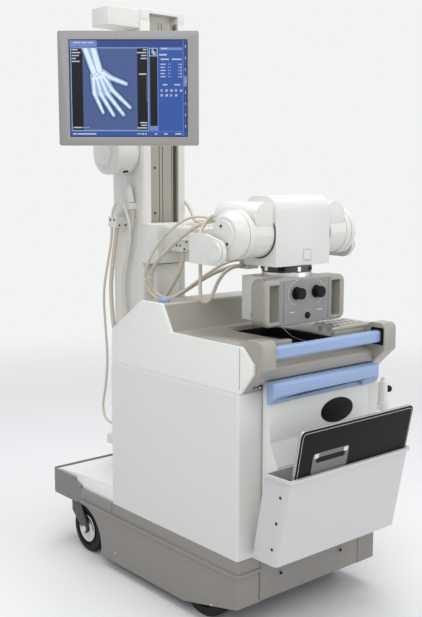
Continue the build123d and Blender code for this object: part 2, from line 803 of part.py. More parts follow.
# Column: cream cover round an aluminium rail with a dark slot
drum_gland = Plane(origin=floor.from_local_coords((-116, 820, 1313)), x_dir=(1, 0, 0), z_dir=(0, 18, 65))
supply_gland = Plane(origin=floor.from_local_coords((-116, 820, 1302)), z_dir=(-25, 46, -26))
clamp_axis = Plane(origin=floor.from_local_coords((-141.5, 873, 1243.5)), z_dir=(-1, 11, -54))
supply_start = tuple(floor.to_local_coords(supply_gland.offset(supply_gland_length).origin))
with BuildPart(floor) as column_cover:
    with BuildSketch(level(column_bottom)):
        outline([(-column_half_width, column_near), (column_half_width, column_near),
                 (column_half_width, column_far), (-column_half_width, column_far)])
        fillet(vertices(), 10)
        outline([(-column_half_width + column_wall, column_near + column_wall),
                 (column_half_width - column_wall, column_near + column_wall),
                 (column_half_width - column_wall, column_far - column_wall),
                 (-column_half_width + column_wall, column_far - column_wall)], Mode.SUBTRACT)
        outline([(rail_left, column_near - 1), (rail_right, column_near - 1),
                 (rail_right, column_near + column_wall + 1), (rail_left, column_near + column_wall + 1)],
                Mode.SUBTRACT)
    extrude(amount=column_height - 40 - column_bottom)
    # Cable fittings: entry box, bracket with two glands, clamp, front gland, and a box on the right side
    for outer, lengths, heights in ((entry_outer, entry_lengths, (entry_top - entry_height, entry_top)),
                                    (drum_bracket_outer, drum_bracket_lengths, drum_bracket_heights),
                                    (column_clamp_outer, column_clamp_lengths, column_clamp_heights)):
        block((-outer, -column_half_width), lengths, heights)
    for rise, size, height in ((0, gland_radius, 48), (48, 15, 6), (54, 9, 14), (68, 2.5, 20)):
        with BuildSketch(drum_gland.offset(rise)):
            Circle(size)
        extrude(amount=height)
    with BuildSketch(supply_gland):
        Circle(supply_gland_radius)
    extrude(amount=supply_gland_length)
    with BuildSketch(clamp_axis):
        Circle(thick_cable / 2 + 1)
    extrude(amount=40, both=True, mode=Mode.SUBTRACT)
    rod((front_gland_side_at, column_near - front_gland_length / 2, front_gland_height), gland_radius,
        front_gland_length, "Y")
    block((column_half_width, carriage_box_outer), carriage_box_lengths, carriage_box_heights)
keep(column_cover, "column_cover")

with BuildPart(floor) as column_rail:
    with BuildSketch(level(column_bottom)):
        front_at = column_near + rail_recess
        outline([(rail_left + 0.3, front_at), (slot_left, front_at), (slot_left, front_at + slot_depth),
                 (slot_right, front_at + slot_depth), (slot_right, front_at),
                 (rail_right - 0.3, front_at), (rail_right - 0.3, column_far - column_wall - 20),
                 (rail_left + 0.3, column_far - column_wall - 20)])
        with Locations(*[(place, front_at) for place in rail_groove_sides]):
            Rectangle(rail_groove_width, 2 * rail_groove_depth, mode=Mode.SUBTRACT)
    extrude(amount=column_height - 42 - column_bottom)
keep(column_rail, "column_rail")

with BuildPart(floor) as column_cap:
    block((-column_half_width, column_half_width), (column_near, column_far),
          (column_height - 40, column_height))
    fillet(edges().filter_by(Axis.Z), 10)
    block((-column_half_width - cap_box_reach, -column_half_width), (column_near + 10, column_near + 110),
          (cap_box_top - cap_box_height, cap_box_top))
    block((rail_left, rail_right), (column_near - 1, column_near + 40),
          (column_height - 41, column_height - 14), Mode.SUBTRACT)
keep(column_cap, "column_cap")

with BuildPart(floor) as drum_housing:
    start = -column_half_width
    rod((start - drum_length / 2, column_length_at, drum_height_at), drum_radius, drum_length, "X")
    fillet(edges().filter_by(GeomType.CIRCLE).group_by(Axis.X)[0], 14)
    rod((start - drum_length - 4, column_length_at, drum_height_at), drum_cap_radius, 8, "X")
keep(drum_housing, "drum_housing")

with BuildPart(floor) as belt_cover:
    with BuildSketch(across(-60)):
        outline([(column_near + rail_recess, 930), (column_near + rail_recess, 1088), (column_near - 30, 1088),
                 (column_near - 30, 960)])
    extrude(amount=104)
keep(belt_cover, "belt_cover")

# Carriage on the column and the telescopic arm
arm_low = roll_height - arm_height / 2
arm_high = roll_height + arm_height / 2
with BuildPart(floor) as carriage:
    with BuildSketch(level(carriage_bottom)):
        outline([(-carriage_half_width, column_near - running_gap), (-carriage_half_width, carriage_near + 24),
                 (-carriage_half_width + 24, carriage_near), (carriage_half_width - 24, carriage_near),
                 (carriage_half_width, carriage_near + 24), (carriage_half_width, column_near - running_gap)])
    extrude(amount=carriage_top - carriage_bottom)
    fillet(edges().filter_by(Axis.Z, reverse=True).group_by(Axis.Z)[-1].sort_by(Axis.Y)[0:3], 6)
    block((slot_left + 4, slot_right - 4), (column_near - 2, column_near + rail_recess + slot_depth - 10),
          (carriage_bottom + 10, carriage_top - 10))
keep(carriage, "carriage")

with BuildPart(floor) as arm_outer:
    block((-arm_half_width, arm_half_width), (arm_outer_near, carriage_near), (arm_low, arm_high))
    fillet(edges().filter_by(Axis.Y), 8)
    block((-arm_half_width + arm_wall, arm_half_width - arm_wall), (arm_outer_near - 1, carriage_near - 4),
          (arm_low + arm_wall, arm_high - arm_wall), Mode.SUBTRACT)
    block((cable_clamp_side_at - cable_clamp_half, -arm_half_width),
          (cable_clamp_length_at - cable_clamp_half, cable_clamp_length_at + cable_clamp_half),
          (cable_clamp_bottom, cable_clamp_top))
    block(carriage_clip_sides, carriage_clip_lengths, (arm_high, arm_high + carriage_clip_height))
keep(arm_outer, "arm_outer")

slide_gap = arm_wall + running_gap
with BuildPart(floor) as arm_inner:
    block((-arm_half_width + slide_gap, arm_half_width - slide_gap), (yoke_far + 4, arm_inner_far),
          (arm_low + slide_gap, arm_high - slide_gap))
    rod((0, yoke_far + running_gap + 2, roll_height), 38, 4, "Y")
    rod((0, yoke_far - 8, roll_height), roll_shaft_radius, 24, "Y")
    block(top_clip_sides, (arm_clip_near, arm_clip_far), (arm_high - slide_gap, arm_clip_top))
    block((-arm_clip_half, arm_clip_half), (arm_clip_near, arm_clip_far),
          (arm_clip_bottom, arm_low + slide_gap))
keep(arm_inner, "arm_inner")

# Yoke: a bar behind the tube with a side plate and tilt boss at each end
with BuildPart(floor) as tube_yoke:
    reach = yoke_inner + yoke_plate
    block((-reach, reach), (yoke_near, yoke_far), (yoke_bottom, yoke_bar_top))
    rod((0, (yoke_near + yoke_far) / 2, roll_height), yoke_hub_radius, yoke_far - yoke_near, "Y")
    for edge in (-1, 1):
        low, high = sorted((edge * yoke_inner, edge * reach))
        with BuildSketch(across(low)):
            with BuildLine():
                knee = (186, yoke_plate_top)
                boss = (tilt_length_at, tilt_height)
                top_touch = (tilt_length_at - 24, tilt_height + 34.5)
                bottom_touch = (tilt_length_at, tilt_height - tilt_boss_radius)
                ThreePointArc(top_touch, (tilt_length_at - tilt_boss_radius, tilt_height), bottom_touch)
                Polyline(bottom_touch, (yoke_far, yoke_bottom), (yoke_far, yoke_plate_top), knee, top_touch)
            make_face()
        extrude(amount=high - low)
        rod((edge * (reach + 3), tilt_length_at, tilt_height), tilt_boss_radius - 8, 6, "X")
    for edge in (-1, 1):
        rod((edge * (yoke_inner + 2), tilt_length_at, tilt_height), tilt_pin_radius + running_gap, 12, "X",
            Mode.SUBTRACT)
    rod((0, yoke_far, roll_height), roll_shaft_radius + running_gap, 42, "Y", Mode.SUBTRACT)
    block((-yoke_clip_side_at - yoke_clip_half, -yoke_clip_side_at + yoke_clip_half),
          (yoke_far, yoke_clip_far), (yoke_bottom, yoke_clip_top))
keep(tube_yoke, "tube_yoke")

# Tube housing: a stepped drum lying across the machine
with BuildPart(floor) as tube_housing:
    with BuildSketch(facing(tube_length_at)):
        with BuildLine():
            steps = [(0, 0), (0, tube_radius - 4), (205, tube_radius - 4), (205, tube_radius),
                     (tube_end - 22, tube_radius), (tube_end, tube_radius - 20), (tube_end, 46),
                     (tube_end + 4, 44), (tube_end + 4, 0)]
            Polyline(*[(out, tube_height + up) for out, up in steps], close=True)
        make_face()
    revolve(axis=Axis(facing(tube_length_at).from_local_coords((0, tube_height, 0)), (1, 0, 0)))
    mirror(about=across(0))
    for edge in (-1, 1):
        rod((edge * (yoke_inner - 10), tilt_length_at, tilt_height), tilt_pin_radius, 30, "X")
keep(tube_housing, "tube_housing")

with BuildPart(floor) as tube_cover:
    with BuildSketch(across(-cover_half_width)):
        outline([(cover_near, cover_bottom), (cover_near, cover_top), (cover_far, cover_top),
                 (cover_far, cover_bottom)])
        fillet(vertices().group_by(Axis.Y)[-1], 50)
    extrude(amount=2 * cover_half_width)
    rod((0, tube_length_at, tube_height), tube_radius - 3.5, 2 * cover_half_width + 2, "X", Mode.SUBTRACT)
keep(tube_cover, "tube_cover")

with BuildPart(floor) as cable_horns:
    for edge in (-1, 1):
        rod((edge * horn_side_at, (horn_near + horn_far) / 2, horn_height_at), horn_radius,
            horn_far - horn_near, "Y")
        boot_at = (edge * horn_side_at, horn_far + horn_boot_length / 2, horn_height_at)
        with Locations(Location(boot_at, (-90, 0, 0))):
            Cone(horn_radius - 14, 18, horn_boot_length)
    rod((0, tube_length_at, tube_height), tube_radius - 3.5, 500, "X", Mode.SUBTRACT)
    block((-cover_half_width, cover_half_width), (cover_near, cover_far), (cover_bottom, cover_top),
          Mode.SUBTRACT)
keep(cable_horns, "cable_horns")

# Collimator on its swivel ring
with BuildPart(floor) as beam_port:
    rod((0, beam_length_at, (ring_split + running_gap + cover_bottom) / 2), ring_radius,
        cover_bottom - ring_split - running_gap)
keep(beam_port, "beam_port")

with BuildPart(floor) as collimator_box:
    block((-collimator_half_width, collimator_half_width), (bezel_far, collimator_far),
          (collimator_bottom, bezel_top))
    rod((0, beam_length_at, (bezel_top + ring_split) / 2), ring_radius - 3, ring_split - bezel_top)
keep(collimator_box, "collimator_box")

with BuildPart(floor) as collimator_bezel:
    with BuildSketch(facing(bezel_near)):
        with Locations((0, (bezel_bottom + bezel_top) / 2)):
            RectangleRounded(2 * bezel_half_width, bezel_top - bezel_bottom, bezel_corner)
    extrude(amount=-(bezel_far - bezel_near))
    fillet(edges().group_by(Axis.Y)[0], 8)
    for edge in (-1, 1):
        low, high = sorted((edge * grip_inner, edge * grip_outer))
        block((low, high), (bezel_near - 1, bezel_far + 1), (grip_bottom, grip_top), Mode.SUBTRACT)
keep(collimator_bezel, "collimator_bezel")

with BuildPart(floor) as collimator_dials:
    for place in (-1, 1):
        rod((3 + place * dial_side_at, bezel_near - 12, dial_height_at), dial_radius, 24, "Y")
    rod((4, bezel_near - 3, 973), 8, 6, "Y")
keep(collimator_dials, "collimator_dials")

# Monitor on a jointed arm from the column's side
elbow = (monitor_elbow_side_at, monitor_elbow_length_at)
hub = (screen_side_at + math.sin(turn) * monitor_hub_gap,
       screen_length_at + math.cos(turn) * monitor_hub_gap)
link = (hub[0] - elbow[0], hub[1] - elbow[1])
knuckle_bottom = screen_height_at - 20
with BuildPart(floor) as monitor_bracket:
    block((-column_half_width - 12, -column_half_width), (elbow[1] - 45, elbow[1] + 45),
          (screen_height_at - 60, screen_height_at + 60))
    block((elbow[0], -column_half_width - 12), (elbow[1] - 14, elbow[1] + 14),
          (knuckle_bottom, knuckle_bottom + 50))
    rod((elbow[0], elbow[1], knuckle_bottom + 25), monitor_knuckle_radius, 50)
keep(monitor_bracket, "monitor_bracket")

screen_plane = Plane(origin=level(screen_height_at).from_local_coords((screen_side_at, screen_length_at, 0)),
                     x_dir=(math.cos(turn), -math.sin(turn), 0), z_dir=(-math.sin(turn), -math.cos(turn), 0))
tilt_plane = Plane(origin=screen_plane.from_local_coords((0, 0, -monitor_hub_gap)),
                   x_dir=(0, 0, 1), z_dir=screen_plane.x_dir)
link_top = knuckle_bottom - running_gap
with BuildPart(floor) as monitor_arm:
    with BuildSketch(level(link_top - 26)):
        with Locations(Location(((elbow[0] + hub[0]) / 2, (elbow[1] + hub[1]) / 2, 0),
                                (0, 0, math.degrees(math.atan2(link[1], link[0]))))):
            SlotCenterToCenter(math.hypot(*link), 2 * monitor_knuckle_radius)
    extrude(amount=26)
    fillet(edges().group_by(Axis.Z)[-1] + edges().group_by(Axis.Z)[0], 5)
    rod((hub[0], hub[1], screen_height_at - 12), 14, 24)
    with BuildSketch(tilt_plane):
        Circle(16)
    extrude(amount=23, both=True)
    with BuildSketch(tilt_plane):
        Circle(7 + running_gap)
    extrude(amount=24, both=True, mode=Mode.SUBTRACT)
keep(monitor_arm, "monitor_arm")

with BuildPart(screen_plane) as monitor_shell:
    with BuildSketch(screen_plane.offset(-monitor_depth)):
        RectangleRounded(monitor_width, monitor_height, 6)
    extrude(amount=monitor_depth)
    with BuildSketch(screen_plane.offset(-3)):
        Rectangle(screen_width, screen_height)
    extrude(amount=4, mode=Mode.SUBTRACT)
    for cheek in (-1, 1):
        low, high = sorted((cheek * 24, cheek * 34))
        block((low, high), (-13, 13), (-monitor_hub_gap - 12, -monitor_depth))
    rod((0, 0, -monitor_hub_gap), 7, 60, "X")
keep(monitor_shell, "monitor_shell")

with BuildPart(screen_plane) as monitor_screen:
    with BuildSketch(screen_plane.offset(-3)):
        Rectangle(screen_width - 0.4, screen_height - 0.4)
    extrude(amount=1.5)
keep(monitor_screen, "monitor_screen")

# Cables. Each route is a list of points (sideways, along, up), whose straight runs meet in wide bends.
# On the column's left side: from the bracket through the clamp, down from the clamp, in an arch over it,
# and straight down from the bracket
with BuildPart() as column_cables:
    cable("column supply cable", thick_cable,
          [supply_start, (-141, 866, 1276), (-142, 878, 1218), (-141, 898, 1140), (-140, 928, 1010),
           (-136, 926, 890), (-134, 902, 760), (-138, 896, 610), (-141, 902, 515), (-141, 902, entry_top)])
    cable("column signal cable", thin_cable,
          [(-152, 896, column_clamp_heights[0]), (-152, 896, 1180), (-156, 920, 1090), (-158, 953, 970),
           (-158, 940, 840), (-157, 930, 720), (-151, 955, 605), (-148, 984, 532), (-153, 966, 486),
           (-158, 930, 474), (-160, 893, 471), (-160, 873, 455), (-160, 873, entry_top)])
    cable("column arch cable", thin_cable,
          [(-152, 892, column_clamp_heights[1]), (-152, 892, 1284), (-147, 868, 1318), (-141, 836, 1312),
           (-137, 812, 1262), (-132, 800, 1195), (-131, 830, 1100), (-131, 858, 1000), (-127, 838, 870),
           (-127, 830, 760), (-130, 842, 640), (-130, 836, 525), (-130, 836, entry_top)])
    cable("column lead", head_cable,
          [(-114, 813, drum_bracket_heights[0]), (-114, 813, 1225), (-118, 842, 1130), (-118, 884, 1010),
           (-115, 862, 860), (-115, 848, 740), (-121, 860, 600), (-121, 862, 515), (-121, 862, entry_top)])
keep(column_cables, "column_cables")

# Between the column and what rises on it: from the arm's clamp down behind the hump, and over the carriage
with BuildPart() as lift_cables:
    cable("arm cable", thick_cable,
          [(cable_clamp_side_at, cable_clamp_length_at, cable_clamp_bottom),
           (cable_clamp_side_at, cable_clamp_length_at, 1108), (-81, 600, 1045), (-84, 650, 990),
           (-84, 694, 942), (front_gland_side_at, 730, front_gland_height),
           (front_gland_side_at, column_near - front_gland_length, front_gland_height)])
    cable("carriage cable", loop_cable,
          [(116, carriage_box_lengths[0], 1328), (116, 825, 1328), (111, 768, 1304), (78, 700, 1268),
           (32, 630, 1244), (32, carriage_clip_lengths[1], 1244)])
keep(lift_cables, "lift_cables")

# The two loops beside the arm, from the clip on top of the sliding arm to the clip below it
with BuildPart() as tube_cable_loop:
    cable("tube cable loop", loop_cable,
          [(-20, arm_clip_far, 1243), (-20, 366, 1243), (-44, 434, 1264), (-90, 494, 1234),
           (-128, 560, 1172), (-152, 634, 1104), (-150, 664, 1040), (-138, 648, 994), (-122, 588, 976),
           (-112, 500, 1020), (-96, 396, 1080), (-76, 334, 1105), (-48, 314, 1112),
           (-arm_clip_half, 314, 1112)])
keep(tube_cable_loop, "tube_cable_loop")

with BuildPart() as tube_cable_thin:
    cable("thin cable loop", thin_cable,
          [(-40, arm_clip_far, 1243), (-40, 366, 1243), (-66, 432, 1272), (-112, 490, 1272),
           (-150, 545, 1226), (-172, 604, 1160), (-180, 652, 1080), (-172, 656, 1022), (-160, 622, 984),
           (-148, 574, 976), (-140, 510, 1003), (-131, 434, 1050), (-120, 372, 1090), (-98, 326, 1120),
           (-62, 314, 1132), (-arm_clip_half, 314, 1132)])
keep(tube_cable_thin, "tube_cable_thin")

# High-voltage cable: from the left horn's boot to the clip on the yoke, and from there in a drop to the arm
with BuildPart() as head_cables:
    cable("horn cable", head_cable,
          [(-horn_side_at, horn_far + horn_boot_length, horn_height_at), (-horn_side_at, 308, horn_height_at),
           (-164, 332, 1264), (-194, 332, 1226), (-yoke_clip_side_at, yoke_cable_length_at, 1188),
           (-yoke_clip_side_at, yoke_cable_length_at, yoke_clip_top)])
    cable("yoke drop cable", head_cable,
          [(-yoke_clip_side_at, yoke_cable_length_at, yoke_bottom),
           (-yoke_clip_side_at, yoke_cable_length_at, 1092), (-216, 301, 1040), (-213, 299, 1010),
           (-196, 286, 1005), (-185, 274, 1031), (-158, 278, 1076), (-112, 288, 1106), (-60, 296, 1115),
           (-arm_clip_half, 296, 1115)])
keep(head_cables, "head_cables")
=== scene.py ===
import bpy
import bmesh
import json
import math
from mathutils import Vector, Matrix


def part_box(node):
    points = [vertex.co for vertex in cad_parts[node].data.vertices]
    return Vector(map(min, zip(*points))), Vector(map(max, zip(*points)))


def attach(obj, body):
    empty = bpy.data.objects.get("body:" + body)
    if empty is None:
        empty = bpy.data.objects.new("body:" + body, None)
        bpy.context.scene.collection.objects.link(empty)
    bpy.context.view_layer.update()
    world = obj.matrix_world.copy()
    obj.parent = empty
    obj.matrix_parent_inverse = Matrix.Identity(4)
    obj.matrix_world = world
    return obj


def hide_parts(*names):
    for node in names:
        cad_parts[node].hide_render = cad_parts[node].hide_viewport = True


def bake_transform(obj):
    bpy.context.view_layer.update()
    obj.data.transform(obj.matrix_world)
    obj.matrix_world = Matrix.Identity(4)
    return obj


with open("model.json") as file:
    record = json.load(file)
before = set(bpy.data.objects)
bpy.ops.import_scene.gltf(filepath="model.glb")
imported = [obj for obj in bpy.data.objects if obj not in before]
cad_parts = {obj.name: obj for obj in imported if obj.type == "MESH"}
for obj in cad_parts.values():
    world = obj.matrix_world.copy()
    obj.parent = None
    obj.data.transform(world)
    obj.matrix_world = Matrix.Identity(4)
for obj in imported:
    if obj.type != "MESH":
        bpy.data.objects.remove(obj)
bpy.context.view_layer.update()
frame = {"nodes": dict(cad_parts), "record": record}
nodes = frame["nodes"]
bodyOf = {name: body for body, names in frame["record"]["behaviour"]["bodies"].items() for name in names}
shellLow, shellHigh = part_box("cabinet_shell")
middleX = (shellLow.x + shellHigh.x) / 2      # the machine's centre plane
handleY = shellLow.y                          # the cabinet's face on the handle side
print("frame loaded:", len(nodes), "nodes")


# a point of the machine, in metres from its centre plane, handle face and floor
def spot(sideways, along, up):
    return Vector((middleX + sideways, handleY + along, up))


def addObject(name, data):
    made = bpy.data.objects.new(name, data)
    bpy.context.scene.collection.objects.link(made)
    return made


# a new material, with its node tree and its shader
def newPaint(name):
    paint = bpy.data.materials.new(name)
    paint.use_nodes = True
    return paint, paint.node_tree, paint.node_tree.nodes["Principled BSDF"]


# camera, at the height of a standing photographer, beyond the handle side and to the left
cameraView = {"place": (-2.065, -1.9496, 1.3926), "turn": 40.10, "down": 7.96, "lens": 53.22, "sensor": 36}


def makeCamera(view):
    data = bpy.data.cameras.new("photoCamera")
    data.lens = view["lens"]
    data.sensor_width = view["sensor"]
    data.sensor_fit = "AUTO"
    data.clip_end = 60
    camera = addObject("photoCamera", data)
    camera.location = spot(*view["place"])
    camera.rotation_euler = (math.radians(90 - view["down"]), 0, -math.radians(view["turn"]))
    bpy.context.scene.camera = camera


makeCamera(cameraView)
print("camera placed")


# geometry node trees: a tree, its group nodes, and short ways to add and join nodes
def newTree(name, inputs, kind="GeometryNodeTree", outputs=(("Geometry", "NodeSocketGeometry"),)):
    tree = bpy.data.node_groups.new(name, kind)
    for label, socketKind, value in inputs:
        socket = tree.interface.new_socket(label, in_out="INPUT", socket_type=socketKind)
        if value is not None:
            socket.default_value = value
    for label, socketKind in outputs:
        tree.interface.new_socket(label, in_out="OUTPUT", socket_type=socketKind)
    return tree, tree.nodes.new("NodeGroupInput"), tree.nodes.new("NodeGroupOutput")


def addNode(tree, kind, settings=None, **values):
    node = tree.nodes.new(kind)
    for key, value in (settings or {}).items():
        setattr(node, key, value)
    for key, value in values.items():
        node.inputs[key.replace("_", " ")].default_value = value
    return node


# runs a tree on an object and leaves its result there as a plain mesh
def settleNodes(piece, tree, **values):
    modifier = piece.modifiers.new(tree.name, "NODES")
    modifier.node_group = tree
    sockets = {item.name: item.identifier for item in tree.interface.items_tree if item.in_out == "INPUT"}
    for key, value in values.items():
        modifier[sockets[key.replace("_", " ")]] = value
    bpy.context.view_layer.update()
    shape = bpy.data.meshes.new_from_object(piece.evaluated_get(bpy.context.evaluated_depsgraph_get()))
    piece.modifiers.remove(modifier)
    while len(shape.materials) > 1 and shape.materials[0] is None:
        shape.materials.pop(index=0)
    shape.name = piece.name
    piece.data = shape


# the sleeve of a cable: a round tube along a line, with a place on the sleeve kept for its material
def makeSleeveTree():
    tree, start, end = newTree("cableSleeve", [
        ("Geometry", "NodeSocketGeometry", None), ("Radius", "NodeSocketFloat", 0.007),
        ("Sides", "NodeSocketInt", 16), ("Material", "NodeSocketMaterial", None)])
    line = addNode(tree, "GeometryNodeMeshToCurve")
    ring = addNode(tree, "GeometryNodeCurvePrimitiveCircle")
    along = addNode(tree, "GeometryNodeSplineParameter")
    keepAlong = addNode(tree, "GeometryNodeCaptureAttribute")
    keepAlong.capture_items.new("FLOAT", "Along")
    around = addNode(tree, "GeometryNodeInputPosition")
    keepAround = addNode(tree, "GeometryNodeCaptureAttribute")
    keepAround.capture_items.new("VECTOR", "Around")
    tube = addNode(tree, "GeometryNodeCurveToMesh", Fill_Caps=True)
    apart = addNode(tree, "ShaderNodeSeparateXYZ")
    together = addNode(tree, "ShaderNodeCombineXYZ")
    store = addNode(tree, "GeometryNodeStoreNamedAttribute",
                    {"data_type": "FLOAT_VECTOR", "domain": "POINT"}, Name="sleevePlace")
    smooth = addNode(tree, "GeometryNodeSetShadeSmooth")
    real = addNode(tree, "GeometryNodeRealizeInstances")
    paint = addNode(tree, "GeometryNodeSetMaterial")
    join = tree.links.new
    join(start.outputs["Geometry"], line.inputs["Mesh"])
    join(line.outputs["Curve"], keepAlong.inputs["Geometry"])
    join(along.outputs["Length"], keepAlong.inputs["Along"])
    join(start.outputs["Radius"], ring.inputs["Radius"])
    join(start.outputs["Sides"], ring.inputs["Resolution"])
    join(ring.outputs["Curve"], keepAround.inputs["Geometry"])
    join(around.outputs[0], keepAround.inputs["Around"])
    join(keepAlong.outputs["Geometry"], tube.inputs["Curve"])
    join(keepAround.outputs["Geometry"], tube.inputs["Profile Curve"])
    join(keepAround.outputs["Around"], apart.inputs[0])
    join(keepAlong.outputs["Along"], together.inputs["X"])
    join(apart.outputs["X"], together.inputs["Y"])
    join(apart.outputs["Y"], together.inputs["Z"])
    join(tube.outputs[0], store.inputs["Geometry"])
    join(together.outputs[0], store.inputs["Value"])
    join(store.outputs[0], smooth.inputs["Geometry"])
    join(smooth.outputs[0], real.inputs[0])
    join(real.outputs[0], paint.inputs["Geometry"])
    join(start.outputs["Material"], paint.inputs["Material"])
    join(paint.outputs[0], end.inputs[0])
    return tree


sleeveTree = makeSleeveTree()
cableColours = {"tan": (0.64, 0.58, 0.475), "pale": (0.70, 0.69, 0.64)}


# soft plastic sleeving: faint rings along it, and a tone that drifts slowly from one stretch to the next
def makeSleeve(name, colour):
    paint, tree, shader = newPaint(name)
    place = addNode(tree, "ShaderNodeAttribute", {"attribute_name": "sleevePlace"})
    drift = addNode(tree, "ShaderNodeTexNoise", Scale=22.0, Detail=3.0)
    tone = addNode(tree, "ShaderNodeMapRange", To_Min=0.88, To_Max=1.08)
    tint = addNode(tree, "ShaderNodeVectorMath", {"operation": "SCALE"})
    tint.inputs[0].default_value = colour
    rough = addNode(tree, "ShaderNodeMapRange", To_Min=0.42, To_Max=0.62)
    rings = addNode(tree, "ShaderNodeTexWave", {"bands_direction": "X"}, Scale=110.0, Distortion=1.5)
    bump = addNode(tree, "ShaderNodeBump", Strength=0.25, Distance=0.0003)
    join = tree.links.new
    join(place.outputs["Vector"], drift.inputs["Vector"])
    join(place.outputs["Vector"], rings.inputs["Vector"])
    join(drift.outputs["Fac"], tone.inputs["Value"])
    join(drift.outputs["Fac"], rough.inputs["Value"])
    join(tone.outputs[0], tint.inputs["Scale"])
    join(tint.outputs[0], shader.inputs["Base Color"])
    join(rough.outputs[0], shader.inputs["Roughness"])
    join(rings.outputs["Fac"], bump.inputs["Height"])
    join(bump.outputs[0], shader.inputs["Normal"])
    return paint


sleeves = {name: makeSleeve(name + "Sleeve", colour) for name, colour in cableColours.items()}

